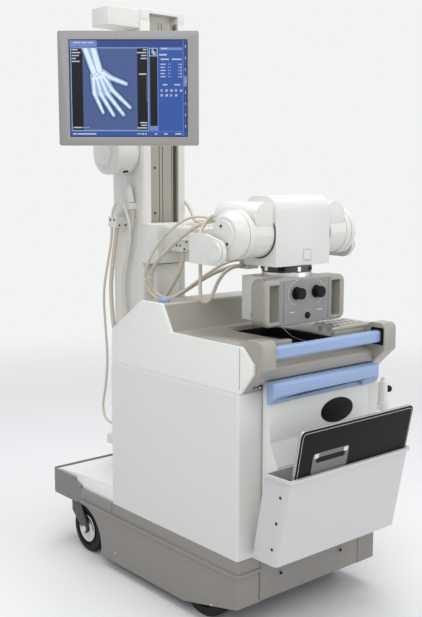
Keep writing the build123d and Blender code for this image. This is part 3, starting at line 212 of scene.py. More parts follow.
# the cables, in metres: what each stands for, how it moves, and the points that pull its line
cables = {
    "tubeCable": {
        "node": "tube_cable_loop", "thick": 0.014, "length": 0.916, "sleeve": "tan", "body": "arm",
        "route": [
            (-0.020, 0.325, 1.243), (-0.020, 0.366, 1.243), (-0.044, 0.434, 1.264), (-0.090, 0.494, 1.234),
            (-0.128, 0.560, 1.172), (-0.152, 0.634, 1.104), (-0.150, 0.664, 1.040), (-0.138, 0.648, 0.994),
            (-0.122, 0.588, 0.976), (-0.112, 0.500, 1.020), (-0.096, 0.396, 1.080), (-0.076, 0.334, 1.105),
            (-0.048, 0.314, 1.112), (-0.025, 0.314, 1.112)]},
    "tubeThinCable": {
        "node": "tube_cable_thin", "thick": 0.009, "length": 0.975, "sleeve": "tan", "body": "arm",
        "route": [
            (-0.040, 0.325, 1.243), (-0.040, 0.366, 1.243), (-0.066, 0.432, 1.272), (-0.112, 0.490, 1.272),
            (-0.150, 0.545, 1.226), (-0.172, 0.604, 1.160), (-0.180, 0.652, 1.080), (-0.172, 0.656, 1.022),
            (-0.160, 0.622, 0.984), (-0.148, 0.574, 0.976), (-0.140, 0.510, 1.003), (-0.131, 0.434, 1.050),
            (-0.120, 0.372, 1.090), (-0.098, 0.326, 1.120), (-0.062, 0.314, 1.132), (-0.025, 0.314, 1.132)]},
    "armCable": {
        "node": "lift_cables", "thick": 0.016, "length": 0.315, "sleeve": "tan",
        "bend": ("carriage", "column"), "bendFrom": (-0.080, 0.562, 1.140), "bendTo": (-0.080, 0.745, 0.925),
        "route": [
            (-0.078, 0.562, 1.148), (-0.078, 0.562, 1.108), (-0.081, 0.600, 1.045), (-0.084, 0.650, 0.990),
            (-0.084, 0.694, 0.942), (-0.082, 0.730, 0.922), (-0.082, 0.752, 0.922)]},
    "carriageCable": {
        "node": "lift_cables", "thick": 0.014, "length": 0.308, "sleeve": "tan",
        "bend": ("column", "carriage"), "bendFrom": (0.116, 0.850, 1.325), "bendTo": (0.032, 0.590, 1.244),
        "route": [
            (0.116, 0.858, 1.328), (0.116, 0.825, 1.328), (0.111, 0.768, 1.304), (0.078, 0.700, 1.268),
            (0.032, 0.630, 1.244), (0.032, 0.585, 1.244)]},
    "hornCable": {
        "node": "head_cables", "thick": 0.012, "length": 0.185, "sleeve": "tan",
        "bend": ("tube_head", "yoke"), "bendFrom": (-0.153, 0.290, 1.280), "bendTo": (-0.217, 0.298, 1.165),
        "route": [
            (-0.153, 0.284, 1.283), (-0.153, 0.308, 1.283), (-0.164, 0.332, 1.264), (-0.194, 0.332, 1.226),
            (-0.217, 0.298, 1.188), (-0.217, 0.298, 1.158)]},
    "yokeDropCable": {
        "node": "head_cables", "thick": 0.012, "length": 0.372, "sleeve": "tan",
        "bend": ("yoke", "arm"), "bendFrom": (-0.210, 0.298, 1.080), "bendTo": (-0.030, 0.298, 1.080),
        "route": [
            (-0.217, 0.298, 1.140), (-0.217, 0.298, 1.092), (-0.216, 0.301, 1.040), (-0.213, 0.299, 1.010),
            (-0.196, 0.286, 1.005), (-0.185, 0.274, 1.031), (-0.158, 0.278, 1.076), (-0.112, 0.288, 1.106),
            (-0.060, 0.296, 1.115), (-0.025, 0.296, 1.115)]},
    "supplyCable": {
        "node": "column_cables", "thick": 0.016, "length": 0.889, "sleeve": "tan", "body": "column",
        "route": [
            (-0.1254, 0.8373, 1.2922), (-0.141, 0.866, 1.276), (-0.142, 0.878, 1.218),
            (-0.141, 0.898, 1.140), (-0.140, 0.928, 1.010), (-0.136, 0.926, 0.890), (-0.134, 0.902, 0.760),
            (-0.138, 0.896, 0.610), (-0.141, 0.902, 0.515), (-0.141, 0.902, 0.430)]},
    "signalCable": {
        "node": "column_cables", "thick": 0.009, "length": 0.874, "sleeve": "tan", "body": "column",
        "route": [
            (-0.152, 0.896, 1.222), (-0.152, 0.896, 1.180), (-0.156, 0.920, 1.090), (-0.158, 0.953, 0.970),
            (-0.158, 0.940, 0.840), (-0.157, 0.930, 0.720), (-0.151, 0.955, 0.605), (-0.148, 0.984, 0.532),
            (-0.153, 0.966, 0.486), (-0.158, 0.930, 0.474), (-0.160, 0.893, 0.471), (-0.160, 0.873, 0.455),
            (-0.160, 0.873, 0.430)]},
    "archCable": {
        "node": "column_cables", "thick": 0.009, "length": 0.987, "sleeve": "pale", "body": "column",
        "route": [
            (-0.152, 0.892, 1.262), (-0.152, 0.892, 1.284), (-0.147, 0.868, 1.318), (-0.141, 0.836, 1.312),
            (-0.137, 0.812, 1.262), (-0.132, 0.800, 1.195), (-0.131, 0.830, 1.100), (-0.131, 0.858, 1.000),
            (-0.127, 0.838, 0.870), (-0.127, 0.830, 0.760), (-0.130, 0.842, 0.640), (-0.130, 0.836, 0.525),
            (-0.130, 0.836, 0.430)]},
    "columnLead": {
        "node": "column_cables", "thick": 0.012, "length": 0.872, "sleeve": "tan", "body": "column",
        "route": [
            (-0.114, 0.813, 1.290), (-0.114, 0.813, 1.225), (-0.118, 0.842, 1.130), (-0.118, 0.884, 1.010),
            (-0.115, 0.862, 0.860), (-0.115, 0.848, 0.740), (-0.121, 0.860, 0.600), (-0.121, 0.862, 0.515),
            (-0.121, 0.862, 0.430)]},
}
cableLines = {}      # the smooth line of each cable, which its ties need


# a mesh of the smooth line through a route, with no thickness
def routeLine(name, points, steps=14):
    curve = bpy.data.curves.new(name + "Route", "CURVE")
    curve.dimensions = "3D"
    spline = curve.splines.new("NURBS")
    spline.points.add(len(points) - 1)
    for point, place in zip(spline.points, points):
        point.co = (*spot(*place), 1)
    spline.order_u = 3
    spline.use_endpoint_u = True
    spline.resolution_u = steps
    holder = addObject(name + "Route", curve)
    bpy.context.view_layer.update()
    line = bpy.data.meshes.new_from_object(holder.evaluated_get(bpy.context.evaluated_depsgraph_get()))
    bpy.data.objects.remove(holder)
    return line


def makeCable(name, setup):
    line = routeLine(name, setup["route"])
    path = [tuple(vertex.co) for vertex in line.vertices]
    cableLines[name] = path
    piece = addObject(name, line)
    settleNodes(piece, sleeveTree, Radius=setup["thick"] / 2, Material=sleeves[setup["sleeve"]])
    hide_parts(setup["node"])
    if "body" in setup:
        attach(piece, setup["body"])
    else:
        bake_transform(piece)


for cableName, setup in cables.items():
    makeCable(cableName, setup)
print("cables hung:", len(cables))

# soft studio light: a large key from the upper left, a fill from the right, a wide lamp overhead, a pale room
studio = {
    "key": {"place": (-3.2, -2.4, 3.6), "aim": (0, 0.3, 0.9), "size": 2.6, "watts": 66},
    "fill": {"place": (2.0, -3.2, 1.7), "aim": (0, 0.3, 0.6), "size": 2.8, "watts": 34},
    "top": {"place": (0, 0.6, 4.2), "aim": (0, 0.4, 0), "size": 3.4, "watts": 106},
    "roomLight": 0.52,
    "roomColour": (0.93, 0.95, 1.0),
    "backdrop": (0.89, 0.90, 0.90),
}


def makeLamp(name, lamp):
    data = bpy.data.lights.new(name, "AREA")
    data.shape = "SQUARE"
    data.size = lamp["size"]
    data.energy = lamp["watts"]
    light = addObject(name, data)
    light.location = spot(*lamp["place"])
    light.rotation_euler = (light.location - spot(*lamp["aim"])).to_track_quat("Z", "Y").to_euler()


def makeRoom(setup):
    world = bpy.data.worlds.new("room")
    bpy.context.scene.world = world
    world.use_nodes = True
    tree = world.node_tree
    tree.nodes.clear()
    out = addNode(tree, "ShaderNodeOutputWorld")
    light = addNode(tree, "ShaderNodeBackground", Color=(*setup["roomColour"], 1), Strength=setup["roomLight"])
    seen = addNode(tree, "ShaderNodeBackground", Color=(*setup["backdrop"], 1))
    path = addNode(tree, "ShaderNodeLightPath")
    seenOrGlossy = addNode(tree, "ShaderNodeMath", {"operation": "MAXIMUM"})
    anySight = addNode(tree, "ShaderNodeMath", {"operation": "MAXIMUM"})
    mix = addNode(tree, "ShaderNodeMixShader")
    join = tree.links.new
    join(path.outputs["Is Camera Ray"], seenOrGlossy.inputs[0])
    join(path.outputs["Is Glossy Ray"], seenOrGlossy.inputs[1])
    join(seenOrGlossy.outputs[0], anySight.inputs[0])
    join(path.outputs["Is Transmission Ray"], anySight.inputs[1])
    join(anySight.outputs[0], mix.inputs[0])
    join(light.outputs[0], mix.inputs[1])
    join(seen.outputs[0], mix.inputs[2])
    join(mix.outputs[0], out.inputs[0])


for lampName in ("key", "fill", "top"):
    makeLamp(lampName + "Lamp", studio[lampName])
makeRoom(studio)
bpy.context.scene.view_settings.view_transform = "Standard"
print("lights set")

floorSetup = {"reach": 7.0, "fadeFrom": 1.6, "fadeTo": 5.5, "colour": (0.86, 0.86, 0.86), "rough": 0.7,
              "sides": 96, "sunk": 0.0005}


def makeFloor(setup):
    bm = bmesh.new()
    bmesh.ops.create_circle(bm, cap_ends=True, segments=setup["sides"], radius=setup["reach"])
    mesh = bpy.data.meshes.new("studioFloor")
    bm.to_mesh(mesh)
    bm.free()
    mesh.transform(Matrix.Translation((0, 0, -setup["sunk"])))
    floor = addObject("studioFloor", mesh)
    paint, tree, shader = newPaint("paleFloor")
    shader.inputs["Base Color"].default_value = (*setup["colour"], 1)
    shader.inputs["Roughness"].default_value = setup["rough"]
    coords = addNode(tree, "ShaderNodeTexCoord")
    length = addNode(tree, "ShaderNodeVectorMath", {"operation": "LENGTH"})
    fade = addNode(tree, "ShaderNodeMapRange", {"interpolation_type": "SMOOTHSTEP"},
                   From_Min=setup["fadeFrom"], From_Max=setup["fadeTo"], To_Min=1.0, To_Max=0.0)
    tree.links.new(coords.outputs["Object"], length.inputs[0])
    tree.links.new(length.outputs["Value"], fade.inputs["Value"])
    tree.links.new(fade.outputs["Result"], shader.inputs["Alpha"])
    floor.data.materials.append(paint)


makeFloor(floorSetup)
print("floor laid")


# fine paint texture: a height, a roughness that wanders, and a colour with faint clouding
def makeOrangePeel():
    group, start, end = newTree("orangePeel", [
        ("Colour", "NodeSocketColor", (0.8, 0.8, 0.8, 1)), ("Clouding", "NodeSocketFloat", 0.03),
        ("Grain Size", "NodeSocketFloat", 900.0), ("Roughness", "NodeSocketFloat", 0.4),
        ("Wander", "NodeSocketFloat", 0.06)], "ShaderNodeTree",
        (("Colour", "NodeSocketColor"), ("Roughness", "NodeSocketFloat"), ("Height", "NodeSocketFloat")))
    coords = addNode(group, "ShaderNodeTexCoord")
    grain = addNode(group, "ShaderNodeTexNoise", Detail=2.0)
    cloud = addNode(group, "ShaderNodeTexNoise", Scale=6.0, Detail=4.0)
    centred = addNode(group, "ShaderNodeMath", {"operation": "SUBTRACT"})
    centred.inputs[1].default_value = 0.5
    rough = addNode(group, "ShaderNodeMath", {"operation": "MULTIPLY_ADD"})
    shade = addNode(group, "ShaderNodeMath", {"operation": "MULTIPLY_ADD"})
    shade.inputs[2].default_value = 1
    tint = addNode(group, "ShaderNodeVectorMath", {"operation": "SCALE"})
    join = group.links.new
    join(coords.outputs["Object"], grain.inputs["Vector"])
    join(coords.outputs["Object"], cloud.inputs["Vector"])
    join(start.outputs["Grain Size"], grain.inputs["Scale"])
    join(cloud.outputs["Fac"], centred.inputs[0])
    join(centred.outputs[0], rough.inputs[0])
    join(start.outputs["Wander"], rough.inputs[1])
    join(start.outputs["Roughness"], rough.inputs[2])
    join(centred.outputs[0], shade.inputs[0])
    join(start.outputs["Clouding"], shade.inputs[1])
    join(start.outputs["Colour"], tint.inputs[0])
    join(shade.outputs[0], tint.inputs["Scale"])
    join(tint.outputs[0], end.inputs["Colour"])
    join(rough.outputs[0], end.inputs["Roughness"])
    join(grain.outputs["Fac"], end.inputs["Height"])
    return group


orangePeel = makeOrangePeel()
peelHeight = 0.0004      # how far the paint's texture stands up, in metres
finishes = {
    "whiteCover": {"colour": (0.74, 0.74, 0.70), "rough": 0.38, "grain": 700, "bump": 0.06, "coat": 0.15},
    "whitePlastic": {"colour": (0.83, 0.835, 0.80), "rough": 0.44, "grain": 900, "bump": 0.10},
    "cabinetGrey": {"colour": (0.70, 0.71, 0.675), "rough": 0.42, "grain": 800, "bump": 0.08, "coat": 0.05},
    "consoleGrey": {"colour": (0.345, 0.325, 0.285), "rough": 0.30, "grain": 1100, "bump": 0.10, "coat": 0.25},
    "skirtGrey": {"colour": (0.25, 0.235, 0.218), "rough": 0.5, "grain": 900, "bump": 0.14},
    "bandGrey": {"colour": (0.205, 0.195, 0.195), "rough": 0.5, "grain": 900, "bump": 0.10},
    "panelGrey": {"colour": (0.27, 0.265, 0.26), "rough": 0.45, "grain": 900, "bump": 0.06},
    "handleBlue": {"colour": (0.30, 0.415, 0.66), "rough": 0.40, "grain": 1000, "bump": 0.12, "coat": 0.1},
    "blackPlastic": {"colour": (0.007, 0.007, 0.0085), "rough": 0.5, "grain": 900, "bump": 0.12, "shine": 0.14},
    "blackRubber": {"colour": (0.016, 0.016, 0.017), "rough": 0.66, "grain": 600, "bump": 0.20, "shine": 0.2},
    "darkMetal": {"colour": (0.05, 0.05, 0.055), "rough": 0.45, "grain": 500, "bump": 0.08},
    "railBronze": {"colour": (0.33, 0.31, 0.265), "rough": 0.42, "grain": 500, "bump": 0.05, "metal": 0.25},
    "steel": {"colour": (0.62, 0.62, 0.62), "rough": 0.26, "grain": 500, "bump": 0.04, "metal": 1.0},
    "bezelSilver": {"colour": (0.285, 0.278, 0.268), "rough": 0.42, "grain": 1200, "bump": 0.06, "metal": 0.15},
    "binWhite": {"colour": (0.60, 0.605, 0.60), "rough": 0.42, "grain": 900, "bump": 0.08},
    "labelPale": {"colour": (0.70, 0.70, 0.66), "rough": 0.35, "grain": 1500, "bump": 0.04, "coat": 0.2},
    "labelSilver": {"colour": (0.42, 0.42, 0.41), "rough": 0.35, "grain": 1500, "bump": 0.04, "metal": 0.5},
    "markWhite": {"colour": (0.74, 0.76, 0.78), "rough": 0.5, "grain": 1500, "bump": 0.04},
    "seamGrey": {"colour": (0.045, 0.042, 0.038), "rough": 0.7, "grain": 900, "bump": 0.1},
    "keyPale": {"colour": (0.46, 0.45, 0.41), "rough": 0.45, "grain": 1500, "bump": 0.06},
    "detectorGrey": {"colour": (0.16, 0.16, 0.165), "rough": 0.38, "grain": 900, "bump": 0.06, "metal": 0.3},
    "detectorBlue": {"colour": (0.035, 0.05, 0.10), "rough": 0.4, "grain": 900, "bump": 0.06},
}
materialOf = {}


def makeFinish(name):
    if name in materialOf:
        return materialOf[name]
    look = finishes[name]
    paint, tree, shader = newPaint(name)
    peel = addNode(tree, "ShaderNodeGroup", {"node_tree": orangePeel}, Colour=(*look["colour"], 1),
                   Roughness=look["rough"], Grain_Size=look["grain"])
    bump = addNode(tree, "ShaderNodeBump", Strength=look["bump"], Distance=peelHeight)
    tree.links.new(peel.outputs["Colour"], shader.inputs["Base Color"])
    tree.links.new(peel.outputs["Roughness"], shader.inputs["Roughness"])
    tree.links.new(peel.outputs["Height"], bump.inputs["Height"])
    tree.links.new(bump.outputs["Normal"], shader.inputs["Normal"])
    shader.inputs["Metallic"].default_value = look.get("metal", 0)
    shader.inputs["Coat Weight"].default_value = look.get("coat", 0)
    shader.inputs["Specular IOR Level"].default_value = look.get("shine", 0.5)
    materialOf[name] = paint
    return paint


print("finishes ready:", len(finishes))

# which finish each solid takes, and how far its edges are eased, in millimetres
dressing = {
    "base_skirt": ("skirtGrey", 1.5), "bead_moulding": ("skirtGrey", 0), "kick_panel": ("skirtGrey", 1),
    "base_frame": ("darkMetal", 0), "drive_motor_left": ("darkMetal", 0),
    "drive_motor_right": ("darkMetal", 0), "drive_wheel_left": ("blackRubber", 0),
    "drive_wheel_right": ("blackRubber", 0), "caster_fork_left": ("darkMetal", 1),
    "caster_fork_right": ("darkMetal", 1), "caster_wheel_left": ("blackRubber", 0),
    "caster_wheel_right": ("blackRubber", 0), "end_bumper": ("bandGrey", 2.5),
    "deck_hood": ("whitePlastic", 2), "column_turret": ("whiteCover", 2),
    "cabinet_shell": ("cabinetGrey", 2.5), "battery_pack": ("blackPlastic", 0),
    "cassette_well": ("blackPlastic", 0), "side_cheek_left": ("whitePlastic", 1.5),
    "side_cheek_right": ("whitePlastic", 1.5), "console_top": ("consoleGrey", 2.5),
    "well_liner": ("blackPlastic", 0.8), "keypad_box": ("consoleGrey", 2.5),
    "console_knob": ("handleBlue", 1), "handle_bracket_left": ("consoleGrey", 4),
    "handle_bracket_right": ("consoleGrey", 4), "drive_bar": ("handleBlue", 2),
    "console_lip": ("consoleGrey", 2), "door_panel": ("whitePlastic", 2),
    "door_hinge_lugs": ("darkMetal", 0), "door_handle": ("handleBlue", 3),
    "oval_plate": ("blackPlastic", 0.6), "storage_bin": ("binWhite", 0),
    "image_detector": ("blackPlastic", 1), "accessory_clamp": ("whiteCover", 1.5),
    "column_cover": ("whiteCover", 3), "column_rail": ("railBronze", 0), "column_cap": ("whiteCover", 3),
    "drum_housing": ("whiteCover", 3), "belt_cover": ("whiteCover", 2), "carriage": ("whiteCover", 2.5),
    "arm_outer": ("whiteCover", 2), "arm_inner": ("whiteCover", 2), "tube_yoke": ("whiteCover", 2.5),
    "tube_housing": ("whiteCover", 2), "tube_cover": ("whiteCover", 6), "cable_horns": ("whiteCover", 3),
    "beam_port": ("darkMetal", 1), "collimator_box": ("whiteCover", 2),
    "collimator_bezel": ("consoleGrey", 3), "collimator_dials": ("blackPlastic", 1.5),
    "monitor_bracket": ("whiteCover", 2), "monitor_arm": ("whiteCover", 2),
    "monitor_shell": ("bezelSilver", 1.5), "monitor_screen": ("handleBlue", 0),
}


# easing of edges: the reach of a weld in metres, and in degrees what counts as flat and as an edge
easing = {"weld": 1e-5, "flat": 0.6, "edge": 28, "steps": 3}


# a copy of a solid with its flat faces whole again and its edges rounded by a width in millimetres
def easedCopy(name, width, setup):
    mesh = nodes[name].data.copy()
    mesh.name = name + "Skin"
    mesh.materials.clear()
    bm = bmesh.new()
    bm.from_mesh(mesh)
    bmesh.ops.remove_doubles(bm, verts=bm.verts, dist=setup["weld"])
    bmesh.ops.dissolve_limit(bm, angle_limit=math.radians(setup["flat"]), verts=bm.verts, edges=bm.edges)
    bm.to_mesh(mesh)
    bm.free()
    skin = addObject(name + "Skin", mesh)
    bevel = skin.modifiers.new("easedEdges", "BEVEL")
    bevel.width = width / 1000
    bevel.segments = setup["steps"]
    bevel.limit_method = "ANGLE"
    bevel.angle_limit = math.radians(setup["edge"])
    bevel.harden_normals = True
    bevel.use_clamp_overlap = True
    mesh.shade_smooth()
    return skin


# solids whose part behind the front has another finish: which way the front looks, and how deep the front goes
backs = {"monitor_shell": ((-0.6428, -0.766, 0), 0.009, "whiteCover"),
         "image_detector": ((0, -0.982, -0.191), 0.0022, "labelSilver")}


def paintBack(skin, towards, depth, finish):
    facing = Vector(towards).normalized()
    front = max(v.co.dot(facing) for v in skin.data.vertices)
    level = front - depth
    bm = bmesh.new()
    bm.from_mesh(skin.data)
    everything = bm.verts[:] + bm.edges[:] + bm.faces[:]
    bmesh.ops.bisect_plane(bm, geom=everything, plane_co=facing * level, plane_no=facing)
    for face in bm.faces:
        if face.calc_center_median().dot(facing) < level:
            face.material_index = 1
    bm.to_mesh(skin.data)
    bm.free()
    skin.data.materials.append(makeFinish(finish))


for name, (finish, ease) in dressing.items():
    if ease:
        skin = easedCopy(name, ease, easing)
        skin.data.materials.append(makeFinish(finish))
        if name in backs:
            paintBack(skin, *backs[name])
        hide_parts(name)
        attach(skin, bodyOf[name])
    else:
        nodes[name].data.materials.clear()
        nodes[name].data.materials.append(makeFinish(finish))
print("solids dressed:", len(dressing))


# closes a mesh off as a finished piece that moves with a body
def finishPiece(name, bm, paints, body, crease=35):
    bmesh.ops.recalc_face_normals(bm, faces=bm.faces)
    mesh = bpy.data.meshes.new(name)
    bm.to_mesh(mesh)
    bm.free()
    mesh.shade_smooth()
    mesh.set_sharp_from_angle(angle=math.radians(crease))
    for paint in paints:
        mesh.materials.append(makeFinish(paint))
    piece = addObject(name, mesh)
    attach(piece, body)


# three directions at right angles, the last along the one given
def axesAlong(direction):
    up = Vector(direction).normalized()
    side = (Vector((0, 0, 1)) if abs(up.z) < 0.9 else Vector((0, 1, 0))).cross(up)
    side = (side - up * side.dot(up)).normalized()
    return side, up.cross(side), up


# walls between rings of as many points, each ring to the next
def bridgeRings(bm, rings):
    made = []
    for low, high in zip(rings, rings[1:]):
        for k in range(len(low)):
            n = (k + 1) % len(low)
            made.append(bm.faces.new([low[k], low[n], high[n], high[k]]))
    return made


# a turned shape: (radius, height) steps about an axis, closed at both ends
def addTurned(bm, steps, foot, direction, sides=28, paint=0):
    side, across, up = axesAlong(direction)
    rings = []
    for radius, height in steps:
        centre = Vector(foot) + up * height
        if radius < 1e-6:
            rings.append([bm.verts.new(centre)])
            continue
        turn = [2 * math.pi * k / sides for k in range(sides)]
        rings.append([bm.verts.new(centre + radius * (side * math.cos(t) + across * math.sin(t)))
                      for t in turn])
    made = []
    for low, high in zip(rings, rings[1:]):
        for k in range(sides):
            corners = [low[k % len(low)], low[(k + 1) % len(low)],
                       high[(k + 1) % len(high)], high[k % len(high)]]
            corners = list(dict.fromkeys(corners))
            if len(corners) > 2:
                made.append(bm.faces.new(corners))
    for ring, flip in ((rings[0], True), (rings[-1], False)):
        if len(ring) > 2:
            made.append(bm.faces.new(list(reversed(ring)) if flip else ring))
    for face in made:
        face.material_index = paint


# a flat shape with a thickness: its outline is given sideways and upwards on a plane
def addSlab(bm, outline, centre, side, upward, facing, sink, rise, paint=0):
    def ring(height):
        return [bm.verts.new(Vector(centre) + side * a + upward * b + facing * height) for a, b in outline]

    low, high = ring(-sink), ring(rise)
    for face in [bm.faces.new(high), bm.faces.new(list(reversed(low)))] + bridgeRings(bm, [low, high]):
        face.material_index = paint


# outlines: a rectangle with rounded corners, an oval, a bar with round ends from one point to another
def roundedOutline(width, height, corner, steps=4, centre=(0, 0)):
    points = []
    for quarter, (sx, sy) in enumerate(((1, 1), (-1, 1), (-1, -1), (1, -1))):
        for k in range(steps + 1):
            angle = math.pi / 2 * (quarter + k / steps)
            points.append((centre[0] + sx * (width / 2 - corner) + corner * math.cos(angle),
                           centre[1] + sy * (height / 2 - corner) + corner * math.sin(angle)))
    return points


def ovalOutline(width, height, sides=32, centre=(0, 0)):
    turn = [2 * math.pi * k / sides for k in range(sides)]
    return [(centre[0] + width / 2 * math.cos(t), centre[1] + height / 2 * math.sin(t)) for t in turn]


def barOutline(a, b, startRadius, endRadius, sides=6):
    a, b = Vector(a), Vector(b)
    heading = math.atan2(b.y - a.y, b.x - a.x)
    points = []
    for centre, radius, first in ((b, endRadius, heading - math.pi / 2),
                                  (a, startRadius, heading + math.pi / 2)):
        for k in range(sides + 1):
            angle = first + math.pi * k / sides
            points.append((centre.x + radius * math.cos(angle), centre.y + radius * math.sin(angle)))
    return points


# the biggest flat side of a solid that looks a given way: its middle, two directions in it, and its size
def flatSide(name, towards):
    towards = Vector(towards).normalized()
    mesh = nodes[name].data
    best = max(mesh.polygons, key=lambda face: face.area if face.normal.dot(towards) > 0.6 else 0)
    facing = best.normal.normalized()
    level = best.center.dot(facing)
    corners = [v.co for v in mesh.vertices if abs(v.co.dot(facing) - level) < 2e-4]
    side = Vector((0, 0, 1)).cross(facing).normalized()
    upward = facing.cross(side)
    a = [c.dot(side) for c in corners]
    b = [c.dot(upward) for c in corners]
    middle = side * (min(a) + max(a)) / 2 + upward * (min(b) + max(b)) / 2 + facing * level
    return middle, side, upward, facing, max(a) - min(a), max(b) - min(b)


# screws: a head with a recess of its own outline, set on every marked place by a tree
# its steps: share of the radius, height, and whether the step belongs to the recess
headSteps = ((1.0, 0.0, False), (1.0, 0.34, False), (0.84, 0.52, False), (0.46, 0.52, True), (0.42, 0.16, True))


def makeHead(name, recess, sides=18):
    bm = bmesh.new()
    rings = []
    for radius, height, inner in headSteps:
        ring = []
        for k in range(sides):
            angle = 2 * math.pi * k / sides
            shape = 1.0
            if inner and recess == "hexagon":
                shape = math.cos(math.pi / 6) / math.cos((angle % (math.pi / 3)) - math.pi / 6)
            if inner and recess == "cross":
                shape = 0.62 + 0.38 * math.cos(4 * angle)
            reach = radius * shape
            ring.append(bm.verts.new((reach * math.cos(angle), reach * math.sin(angle), height)))
        rings.append(ring)
    bridgeRings(bm, rings)
    bm.faces.new(list(reversed(rings[0])))
    bm.faces.new(rings[-1])
    mesh = bpy.data.meshes.new(name)
    bm.to_mesh(mesh)
    bm.free()
    mesh.shade_smooth()
    mesh.set_sharp_from_angle(angle=math.radians(30))
    return addObject(name, mesh)


def makeScrewTree():
    tree, start, end = newTree("screwSet", [
        ("Geometry", "NodeSocketGeometry", None), ("Head", "NodeSocketObject", None),
        ("Material", "NodeSocketMaterial", None)])
    info = addNode(tree, "GeometryNodeObjectInfo")
    facing = addNode(tree, "GeometryNodeInputNamedAttribute", {"data_type": "FLOAT_VECTOR"}, Name="facing")
    size = addNode(tree, "GeometryNodeInputNamedAttribute", {"data_type": "FLOAT"}, Name="size")
    turn = addNode(tree, "FunctionNodeAlignRotationToVector", {"axis": "Z"})
    place = addNode(tree, "GeometryNodeInstanceOnPoints")
    real = addNode(tree, "GeometryNodeRealizeInstances")
    paint = addNode(tree, "GeometryNodeSetMaterial")
    join = tree.links.new
    join(start.outputs["Head"], info.inputs["Object"])
    join(facing.outputs["Attribute"], turn.inputs["Vector"])
    join(start.outputs["Geometry"], place.inputs["Points"])
    join(info.outputs["Geometry"], place.inputs["Instance"])
    join(turn.outputs["Rotation"], place.inputs["Rotation"])
    join(size.outputs["Attribute"], place.inputs["Scale"])
    join(place.outputs["Instances"], real.inputs["Geometry"])
    join(real.outputs["Geometry"], paint.inputs["Geometry"])
    join(start.outputs["Material"], paint.inputs["Material"])
    join(paint.outputs["Geometry"], end.inputs[0])
    return tree


screwTree = makeScrewTree()
heads = {"hexagon": makeHead("hexagonHead", "hexagon"), "cross": makeHead("crossHead", "cross")}


# one set of screws for a body: places, the way each looks, and its radius
def makeScrews(name, recess, finish, body, places):
    mesh = bpy.data.meshes.new(name)
    mesh.from_pydata([tuple(spot(*place)) for place, _, _ in places], [], [])
    mesh.attributes.new("facing", "FLOAT_VECTOR", "POINT")
    mesh.attributes.new("size", "FLOAT", "POINT")
    for k, (_, look, radius) in enumerate(places):
        mesh.attributes["facing"].data[k].vector = Vector(look).normalized()
        mesh.attributes["size"].data[k].value = radius
    piece = addObject(name, mesh)
    settleNodes(piece, screwTree, Head=heads[recess], Material=makeFinish(finish))
    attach(piece, body)


print("workshop ready")

# tube head: housing seams, the blank rating plate, screws of both end caps, and caps over the yoke's pivots
tubeHead = {
    "middle": (0.128, 1.230), "seamRadius": 0.0763, "seamSides": (-0.2262, -0.1225, 0.1225, 0.2262),
    "seamWidth": 0.0011, "seamDepth": 0.003, "plate": (0.0165, 0.052, 1.161), "plateSize": (0.036, 0.040),
    "plateFrame": (0.007, 0.012), "capOut": 0.269, "capScrewRadius": 0.0048,
    "capScrews": ((0.1365, 1.2581), (0.1075, 1.2054)), "yokeDisc": (0.298, 0.1265, 1.1798),
}


def dressTubeHead(setup):
    length, height = setup["middle"]
    bm = bmesh.new()
    r, w = setup["seamRadius"], setup["seamWidth"]
    foot = r - setup["seamDepth"]
    for sideways in setup["seamSides"]:
        addTurned(bm, [(foot, 0), (r, 0), (r, w), (foot, w)], spot(sideways - w / 2, length, height), (1, 0, 0),
                  sides=72)
    finishPiece("housingSeams", bm, ["seamGrey"], "tube_head")
    bm = bmesh.new()
    centre, right, up, out = spot(*setup["plate"]), Vector((1, 0, 0)), Vector((0, 0, 1)), Vector((0, -1, 0))
    wide, tall = setup["plateSize"]
    frameWide, frameTall = setup["plateFrame"]
    addSlab(bm, roundedOutline(wide, tall, 0.002), centre, right, up, out, 0.0005, 0.0005)
    inner = roundedOutline(wide - frameWide, tall - frameTall, 0.0015, centre=(0, 0.002))
    addSlab(bm, inner, centre, right, up, out, 0.0003, 0.0007, paint=1)
    finishPiece("ratingPlate", bm, ["labelSilver", "labelPale"], "tube_head")
    places = [((edge * setup["capOut"], *place), (edge, 0, 0), setup["capScrewRadius"]) for edge in (-1, 1)
              for place in setup["capScrews"]]
    makeScrews("capScrews", "cross", "darkMetal", "tube_head", places)
    bm = bmesh.new()
    out, length, height = setup["yokeDisc"]
    for edge in (-1, 1):
        addTurned(bm, [(0.0255, -0.001), (0.0255, 0.0030), (0.0243, 0.0042), (0.0215, 0.0042), (0.0206, 0.0028),
                       (0.0198, 0.0034), (0, 0.0040)], spot(edge * out, length, height), (edge, 0, 0), sides=48)
    finishPiece("yokeDiscs", bm, ["whiteCover"], "yoke")


dressTubeHead(tubeHead)

# beam port: a steel collar, and the small catches that stand round the dark swivel ring
beamPort = {"middle": (0.0, 0.126), "low": 1.0945, "high": 1.1085, "radius": 0.0802,
            "catches": 9, "catchRadius": 0.0815, "catchBand": (1.112, 1.126)}


